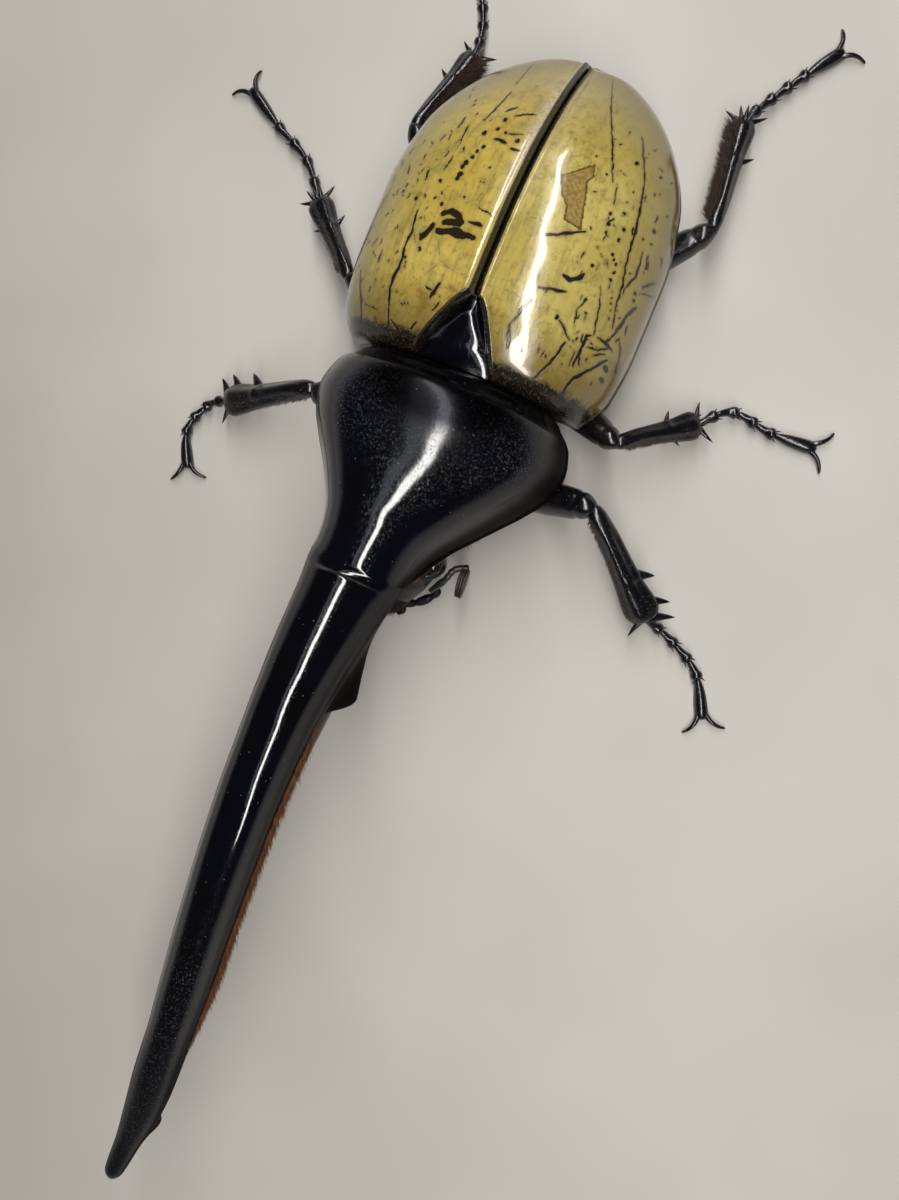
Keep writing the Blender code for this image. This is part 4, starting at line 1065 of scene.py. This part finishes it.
def make_mouth(material):
    """Notched front plate of the head, the jaws under it and a pair of jointed palps."""
    place = np.linspace(CLYPEUS_SECTIONS[0][0], CLYPEUS_SECTIONS[-1][0], 30)
    half, top, bottom = between(CLYPEUS_SECTIONS, place)
    middles = np.stack([np.zeros(30), -place, (top + bottom) / 2], -1)
    rings = ring_grid(middles, np.eye(3)[:1], np.eye(3)[2:], half, (top - bottom) / 2, 56, 2.6)
    rings[..., 1] += 0.5 * bell(rings[..., 0], 0, 0.7) * smooth_step(place, 33.0, 34.8)[:, None]
    shape = Shape(rings)
    for side in (1, -1):
        palp = smooth_line(PALP_PATH, 12) * (side, 1, 1)
        share = np.linspace(0, 1, len(palp))
        tube(shape, palp, 0.42 + 0.3 * np.abs(np.sin(share * np.pi * 3)) ** 0.7, 18)
        jaw = smooth_line(JAW_PATH, 6) * (side, 1, 1)
        tube(shape, jaw, np.linspace(0.75, 0.25, len(jaw)), 14)
    add_piece(shape, "mouth_plates", material, "black_shell", "clypeus", pitted=0.5, edge=0.6)


def belly_grid(place, half, bottom):
    """Flat above, where the wing cases close it, and rounded below with a shallow middle groove."""
    angle = np.linspace(0, np.pi, 90)
    x = np.cos(angle) * half
    z = BELLY_EDGE - (BELLY_EDGE - bottom) * np.sin(angle) ** 0.8 + 0.3 * bell(x, 0, 0.5)
    round_below = np.stack([x, np.broadcast_to(place, x.shape), z], -1)
    lid = half * (-0.96, -0.5, 0.0, 0.5, 0.96)
    flat_above = np.stack([lid, np.broadcast_to(place, lid.shape), np.full_like(lid, BELLY_TOP)], -1)
    return np.concatenate([round_below, flat_above], axis=1)


def make_underside(material, joint_material):
    place = np.linspace(THORAX_SECTIONS[0][0], THORAX_SECTIONS[-1][0], 110)[:, None]
    half, bottom = between(THORAX_SECTIONS, place)
    bottom = bottom + 0.25 * bell(place, 12.5, 0.25) + 0.2 * bell(place, 4.5, 0.25)
    breast = Shape(belly_grid(place, half, bottom))
    add_piece(breast, "breast_plates", material, "underside_shell", "thorax")
    share = np.linspace(0, 1, 240)[:, None]
    place = ABDOMEN_START + (ABDOMEN_END - ABDOMEN_START) * share
    plate = (share * ABDOMEN_PLATES) % 1.0
    half = elytra_half_width(place) * (0.86 + 0.02 * share) - 0.9 - 0.25 * plate
    bottom = 4.5 - 0.35 * plate + 2.2 * share**3 + 0.25 * bell(plate, 0.0, 0.05)
    belly = Shape(belly_grid(place, half, bottom))
    add_piece(belly, "belly_rings", material, "underside_shell", "abdomen")
    hips = Shape(*(ball_grid(leg[0], COXA_RADIUS * 0.97, 40, 26) for leg in LEGS.values()))
    add_piece(hips, "hips", joint_material, "underside_shell")


# Legs

def make_femur(name, leg, material):
    coxa, knee = np.array(leg[:2])
    span = knee - coxa
    share = np.linspace(FEMUR_PLAN[0][0], FEMUR_PLAN[-1][0], 60)
    sag = FEMUR_SAG * np.linalg.norm(span) * np.sin(np.pi * np.minimum(share, 1))
    line = coxa + span * share[:, None] - np.array((0, 0, 1)) * sag[:, None]
    size = between(FEMUR_PLAN, share)[0]
    radius = FEMUR_RADIUS[name.split("_")[0]] * size * ball_end((share - 0.93) / 0.115, 0.02)
    along = unit(line[-1] - line[0])
    across = level_across(along)
    rings = ring_grid(line, across[None], np.cross(across, along)[None], radius * 0.92, radius, 40)
    at = share[:, None]
    wrinkles = 0.02 * wobble(at * 9, turns(40) * 1.5, 1.0) - 0.09 * bell(at, 0.9, 0.018)
    add_piece(Shape(swollen(rings, line, wrinkles)), name + "_thigh", material, "leg_shell", name + "_femur")


def tibia_axes(leg):
    """Both ends of a shin, with its directions along, to the outer side and up."""
    knee, ankle = np.array(leg[1:3])
    along = unit(ankle - knee)
    across = level_across(along)
    outer = across if across[1] > 0 else -across
    return knee, ankle, along, outer, unit(np.cross(outer, along))


def make_tibia(name, leg, material):
    front = name.startswith("front")
    width = TIBIA_WIDTH[name.split("_")[0]]
    knee, ankle, along, outer, up = tibia_axes(leg)
    share = np.linspace(TIBIA_PLAN[0][0], 1.0, 70)
    wide, deep = between(TIBIA_PLAN, share)
    rounded = ball_end((share - 0.965) / 0.04, 0.25) * ball_end((0.03 - share) / 0.055, 0.05)
    line = knee + (ankle - knee) * share[:, None]
    line = line + outer * (0.05 * width * np.sin(np.pi * 2 * share))[:, None]
    half_height = width * 0.8 * deep * rounded
    rings = ring_grid(line, outer[None], up[None], width * wide * rounded, half_height, 48, 2.3)
    turn = turns(48)
    at = share[:, None]
    ridges = 0.1 * np.cos(turn * 4 + 0.6) * smooth_step(at, 0.08, 0.3) * smooth_step(at, 1.0, 0.9)
    steps = 0.06 * bell(at, 0.62, 0.03) * (np.cos(turn) > -0.2) - 0.07 * bell(at, 0.04, 0.03)
    shape = Shape(swollen(rings, line, ridges + steps))
    for at, side, reach, thick in (FRONT_TEETH if front else OTHER_TEETH):
        root = knee + (ankle - knee) * at
        tip = root + outer * math.copysign(1.0, side) * (width * 0.9 + reach * 0.75) + along * reach * 0.75
        thorn(shape, root, tip, thick * (1.05 if front else 0.95), along * -0.25 * reach * 0.3, 18, 0.8)
    if not front:
        for turn in SPINE_TURNS:
            side = outer * math.cos(math.pi * turn) + up * math.sin(math.pi * turn)
            root = knee + (ankle - knee) * 0.95 + side * width * 0.3
            tip = root + side * (width * 0.55 + 0.5) + along * 2.0
            thorn(shape, root, tip, 0.44, side * 0.12, 12)
        for turn in turns(9)[0]:
            side = outer * math.cos(turn) + up * math.sin(turn)
            root = knee + (ankle - knee) * 0.955 + side * width * 0.62
            thorn(shape, root, root + side * 0.35 + along * 0.95, 0.16)
    add_piece(shape, name + "_shin", material, "leg_shell", name + "_tibia")


def foot_line(leg):
    ankle, *foot = np.array(leg[2:])
    start = ankle - unit(foot[0] - ankle) * 0.5
    return smooth_line([start, *foot], 12)


def claw_line(root, along, sideways):
    """A hook that turns from the foot's direction to the side and ends near the floor."""
    steps = 16
    points = [root + sideways * 0.44]
    for share in np.arange(1, steps + 1) / steps:
        turn = math.radians(8 + 66 * share)
        ahead = along * math.cos(turn) + sideways * math.sin(turn)
        following = points[-1] + ahead * CLAW_LENGTH * 1.08 / steps
        following[2] = points[0][2] + 0.5 * math.sin(share * math.pi) - 0.38 * share
        points.append(following)
    return np.array(points)


def make_tarsus(name, leg, material):
    path = foot_line(leg)
    lengths = lengths_along(path)
    shape = Shape()
    for begin, end in zip(TARSUS_SHARES, TARSUS_SHARES[1:]):
        within = np.linspace(0.0, 1.04, 15)
        size = between(FOOT_END_PLAN if end == 1.0 else FOOT_JOINT_PLAN, within)[0]
        begin, end = begin * lengths[-1], end * lengths[-1]
        at = np.minimum(begin + (end - begin) * within, lengths[-1])
        line = np.stack([np.interp(at, lengths, path[:, axis]) for axis in range(3)], -1)
        line[-1] += unit(line[-2] - line[-3]) * 0.05
        tube(shape, line, TARSUS_RADIUS * size, 20)
        if end < lengths[-1]:
            along = unit(line[-3] - line[-6])
            for side in (1, -1):
                aside = level_across(along) * side
                root = line[-3] + aside * TARSUS_RADIUS * 0.6
                thorn(shape, root, root + aside * 0.5 + along * 0.95, 0.15)
    along = unit(path[-1] - path[-3])
    for side in (1, -1):
        hook = claw_line(path[-1] - along * 1.2, along, level_across(along) * side)
        radii = CLAW_RADIUS * (1 - 0.6 * np.linspace(0, 1, len(hook)) ** 1.3)
        radii[-1] *= 0.35
        tube(shape, hook, radii, 14)
    shape.points = [np.maximum(points, (-np.inf, -np.inf, 0.0)) for points in shape.points]
    add_piece(shape, name + "_foot", material, "leg_shell", name + "_tarsus")


def make_feeler(name, side, node, material):
    """Elbowed feeler: a stalk, small beads and a club of three leaves laid together."""
    shape = Shape()
    path = smooth_line(FEELER_PATH, 10) * (side, 1, 1)
    share = np.linspace(0, 1, len(path))
    radii = 0.4 + 0.12 * np.abs(np.sin(share * np.pi * 8)) * smooth_step(share, 0.3, 0.45)
    tube(shape, path, radii + 0.16 * bell(share, 0.24, 0.1), 18)
    within = np.linspace(0, 1, 26)
    size = np.sqrt(np.clip(np.sin(np.pi * np.clip(within * 0.86 + 0.1, 0, 1)), 0.02, 1))
    size[-1] *= 0.3
    for aside in (-0.42, 0.0, 0.42):
        root = np.array((side * (10.7 + aside), -24.3, 11.5))
        tip = np.array((side * (11.0 + aside * 0.8), -28.6, 11.1))
        line = root + (tip - root) * within[:, None]
        line[:, 2] += 0.25 * np.sin(within * np.pi)
        shape.closed(ring_grid(line, *line_frames(line), 0.36 * size, 0.95 * size, 20))
    add_piece(shape, name, material, "feeler", node)


# Hair

class Coat(Shape):
    """Thin bent three-sided hairs of nine points, with a tone and a place on the unwrap for each."""

    def __init__(self):
        super().__init__()
        self.tones = []
        self.unwrap = []

    def grow(self, roots, directions, lengths, radius, droop, tones, unwrap):
        directions = unit(directions)
        aside = unit(np.cross(directions, (0.31, 0.17, 0.93)))
        other = np.cross(directions, aside)
        points = []
        for share, size in ((0.0, 1.0), (0.55, 0.75), (1.0, 0.1)):
            middle = roots + directions * lengths[:, None] * share
            middle = middle + np.asarray(droop) * (lengths * share**2)[:, None]
            for turn in (0.0, 2.094, 4.189):
                points.append(middle + (aside * math.cos(turn) + other * math.sin(turn)) * radius * size)
        first = np.arange(len(roots))[:, None, None] * 9
        self.add(np.stack(points, 1), (grid_faces(3, 3, True) + first).reshape(-1, 4))
        self.tones.extend(np.repeat(tones, 9))
        self.unwrap.extend(np.repeat(np.stack(unwrap, -1), 9, axis=0))

    def piece(self, name, material):
        mesh = self.mesh(name)
        add_values(mesh, "tone", self.tones)
        corner = np.zeros(len(mesh.loops), np.int32)
        mesh.loops.foreach_get("vertex_index", corner)
        inside = corner % 9
        offset = np.stack([(inside % 3) / 2 * 0.003, (inside // 3) / 2 * 0.003], -1)
        places = np.array(self.unwrap)[corner] + offset
        mesh.uv_layers.new(name="OFBake").data.foreach_set("uv", places.astype(np.float32).ravel())
        make_piece(mesh, material, "hair")


def some_tones(count, middle, spread):
    return np.clip(middle + spread * CHANCE.normal(size=count), 0, 1)


def horn_brush(material):
    """Dense orange-brown brush on the underside of the long horn."""
    count = BRUSH_HAIRS
    place = BRUSH_START + BRUSH_LENGTH * CHANCE.random(count) ** 0.9
    roots, half_width, half_height = horn_line(THORACIC_HORN, place)
    turn = math.pi * 1.5 - 1.5 + CHANCE.random(count) * 2.65
    direction = np.stack([-np.cos(turn), np.zeros(count), np.sin(turn)], -1)
    roots[:, 0] += direction[:, 0] * half_width * 0.93
    roots[:, 2] += direction[:, 2] * half_height * 0.93
    full = smooth_step(place, BRUSH_START, 52) * smooth_step(place, 100.5, 84)
    lengths = (0.8 + 1.6 * full) * (0.7 + 0.45 * CHANCE.random(count))
    lean = direction * 0.5 + CHANCE.normal(0, 0.1, (count, 3)) + (0, -0.95, -0.15)
    unwrap = (0.02 + 0.95 * (place - 29) / 92, 0.02 + 0.95 * (turn / (2 * math.pi)) % 1)
    coat = Coat()
    coat.grow(roots, lean, lengths, 0.05, (0, -0.1, -0.05), some_tones(count, 0.45, 0.3), unwrap)
    coat.piece("horn_brush", material)


def shin_hair(material):
    """Stiff brown hair on the inner side of the shins."""
    coat = Coat()
    for index, (name, leg) in enumerate(LEGS.items()):
        pair = name.split("_")[0]
        width = TIBIA_WIDTH[pair]
        count, length = SHIN_HAIRS[pair]
        knee, ankle, along, outer, up = tibia_axes(leg)
        share = 0.08 + 0.84 * CHANCE.random(count)
        wide, deep = between(TIBIA_PLAN, share)
        turn = math.pi + CHANCE.normal(0, 0.55, count)
        side = outer * np.cos(turn)[:, None] + up * np.sin(turn)[:, None]
        reach = np.hypot(np.cos(turn) * width * wide, np.sin(turn) * width * 0.8 * deep) * 0.9
        roots = knee + (ankle - knee) * share[:, None] + side * reach[:, None]
        lengths = length * (0.6 + 0.7 * CHANCE.random(count))
        lean = side + along * 0.9 + CHANCE.normal(0, 0.15, (count, 3))
        unwrap = (0.02 + 0.15 * index + 0.12 * share, 0.02 + 0.9 * ((turn / (2 * math.pi)) % 1))
        coat.grow(roots, lean, lengths, 0.045, (0, 0, -0.03), some_tones(count, 0.3, 0.25), unwrap)
    coat.piece("shin_hair", material)


def bristle_line(coat, index, places, direction, length, count, spread):
    """Loose bristles scattered along a line of places."""
    places = np.asarray(places, float)
    at = CHANCE.random(count) * (len(places) - 1)
    low = at.astype(int)
    share = (at - low)[:, None]
    roots = places[low] * (1 - share) + places[low + 1] * share + CHANCE.normal(0, spread, (count, 3))
    lean = direction + CHANCE.normal(0, 0.28, (count, 3))
    lengths = length * (0.6 + 0.6 * CHANCE.random(count))
    tones = some_tones(count, 0.5, 0.3)
    unwrap = (0.02 + 0.09 * index + 0.07 * at / len(places), 0.05 + 0.9 * CHANCE.random(count))
    coat.grow(roots, lean, lengths, 0.045, (0, 0, -0.12), tones, unwrap)


def body_hair(material):
    """Orange bristles under the pronotum's edge, round the mouth and on the breast."""
    coat = Coat()
    place = np.linspace(15.0, 28.0, 14)
    half, top, margin, floor = between(PRONOTUM_SECTIONS, place)
    for index, side in enumerate((1, -1)):
        edge = np.stack([side * half * 0.86, -place, margin - 0.32 * (margin - floor)], -1)
        bristle_line(coat, index, edge, (side * 0.4, -0.6, -0.5), 1.3, SIDE_BRISTLES, 0.2)
    bristle_line(coat, 2, MOUTH_EDGE, (0.0, -0.9, -0.4), 1.1, FRONT_BRISTLES, 0.2)
    for index, back in enumerate((3.0, 8.0, 13.0, 18.0)):
        row = [(x, back + 0.04 * abs(x), 5.2 + 0.012 * x * x) for x in (-12, -8, -4, 4, 8, 12)]
        bristle_line(coat, 3 + index, row, (0.0, 0.8, -0.4), 1.0, FRONT_BRISTLES, 0.4)
    coat.piece("body_bristles", material)


# Floor, light and camera

def make_floor():
    shape = Shape()
    x, y = np.meshgrid((-FLOOR_REACH, 0, FLOOR_REACH), (-FLOOR_REACH, 0, FLOOR_REACH))
    shape.add(np.stack([x, y, np.full(x.shape, -0.02)], -1), grid_faces(3, 3, False))
    mesh = shape.mesh("floor")
    mesh.materials.append(floor_material())
    floor = put("floor", mesh)


def soft_light(name, centre, size, radiance, colour):
    """A rectangular soft box over the beetle that faces straight down."""
    data = bpy.data.lights.new(name, "AREA")
    data.shape = "RECTANGLE"
    data.size, data.size_y = (side * MM for side in size)
    data.energy = radiance * math.pi * data.size * data.size_y
    data.color = colour
    away = (0.0, 0.0, 1.0)
    aside = unit(np.cross(LAMP_AXIS, away))
    turned = Matrix((aside, np.cross(away, aside), away)).transposed()
    put(name, data).matrix_world = Matrix.Translation(to_part(centre)) @ turned.to_4x4()


def make_room():
    """A room that is dark overhead and pale towards the horizon."""
    shade = Shade("soft_room", bpy.data.worlds, "Background")
    bpy.context.scene.world = shade.owner
    height = shade.node("SeparateXYZ", {}, {0: shade.node("TexCoord")}, out=2)
    shade.finish(Strength=height.step(0.0, 0.3, ROOM_HORIZON, ROOM_OVERHEAD), Color=(0.95, 0.96, 1.0))


def make_camera():
    """The photo's own view, solved from the beetle's outline."""
    data = bpy.data.cameras.new("camera")
    data.sensor_fit = "VERTICAL"
    data.sensor_height = 36.0
    data.lens = CAMERA_FOCUS * data.sensor_height
    data.clip_start = 0.005
    data.clip_end = 10.0
    camera = put("camera", data)
    camera.location = to_part(CAMERA_AT)
    camera.rotation_euler = CAMERA_TURN
    bpy.context.scene.camera = camera


def build():
    left_case = wing_case_material("left_case_shell", OLIVE, OLIVE_LIGHT)
    right_case = wing_case_material("right_case_shell", GOLDEN, GOLDEN_LIGHT)
    shells = {name: leg_material(name + "_shell", *looks) for name, looks in LEG_SHELLS.items()}
    black_shell = black_shell_material()
    eye = eye_material()
    make_wing_case("wing_case_left", 1, "elytron_left", LEFT_SEAM_SINK, LEFT_CRACKS, LEFT_SPOTS, BROWN_PATCH,
                   left_case)
    make_wing_case("wing_case_right", -1, "elytron_right", RIGHT_SEAM_SINK, RIGHT_CRACKS, RIGHT_SPOTS, (),
                   right_case)
    for make in (make_scutellum, make_pronotum, make_thoracic_horn, make_cephalic_horn):
        make(black_shell)
    for name, leg in LEGS.items():
        make_femur(name, leg, shells["thigh"])
        make_tibia(name, leg, shells["shin"])
        make_tarsus(name, leg, shells["foot"])
    horn_brush(hair_material("brush_hair", (0.07, 0.022, 0.007), (0.33, 0.115, 0.028)))
    shin_hair(hair_material("leg_hair", (0.035, 0.018, 0.01), (0.11, 0.055, 0.025)))
    make_head(black_shell)
    make_mouth(black_shell)
    make_underside(shells["belly"], shells["thigh"])
    body_hair(hair_material("bristle_hair", (0.10, 0.035, 0.01), (0.42, 0.16, 0.04)))
    make_eye("eye_left", 1, eye)
    make_eye("eye_right", -1, eye)
    make_feeler("feeler_left", 1, "antenna_left", shells["feeler"])
    make_feeler("feeler_right", -1, "antenna_right", shells["feeler"])
    make_floor()
    for name, lamp in LAMPS.items():
        soft_light(name, *lamp)
    make_room()
    make_camera()
    bpy.context.scene.view_settings.view_transform = "Standard"


build()
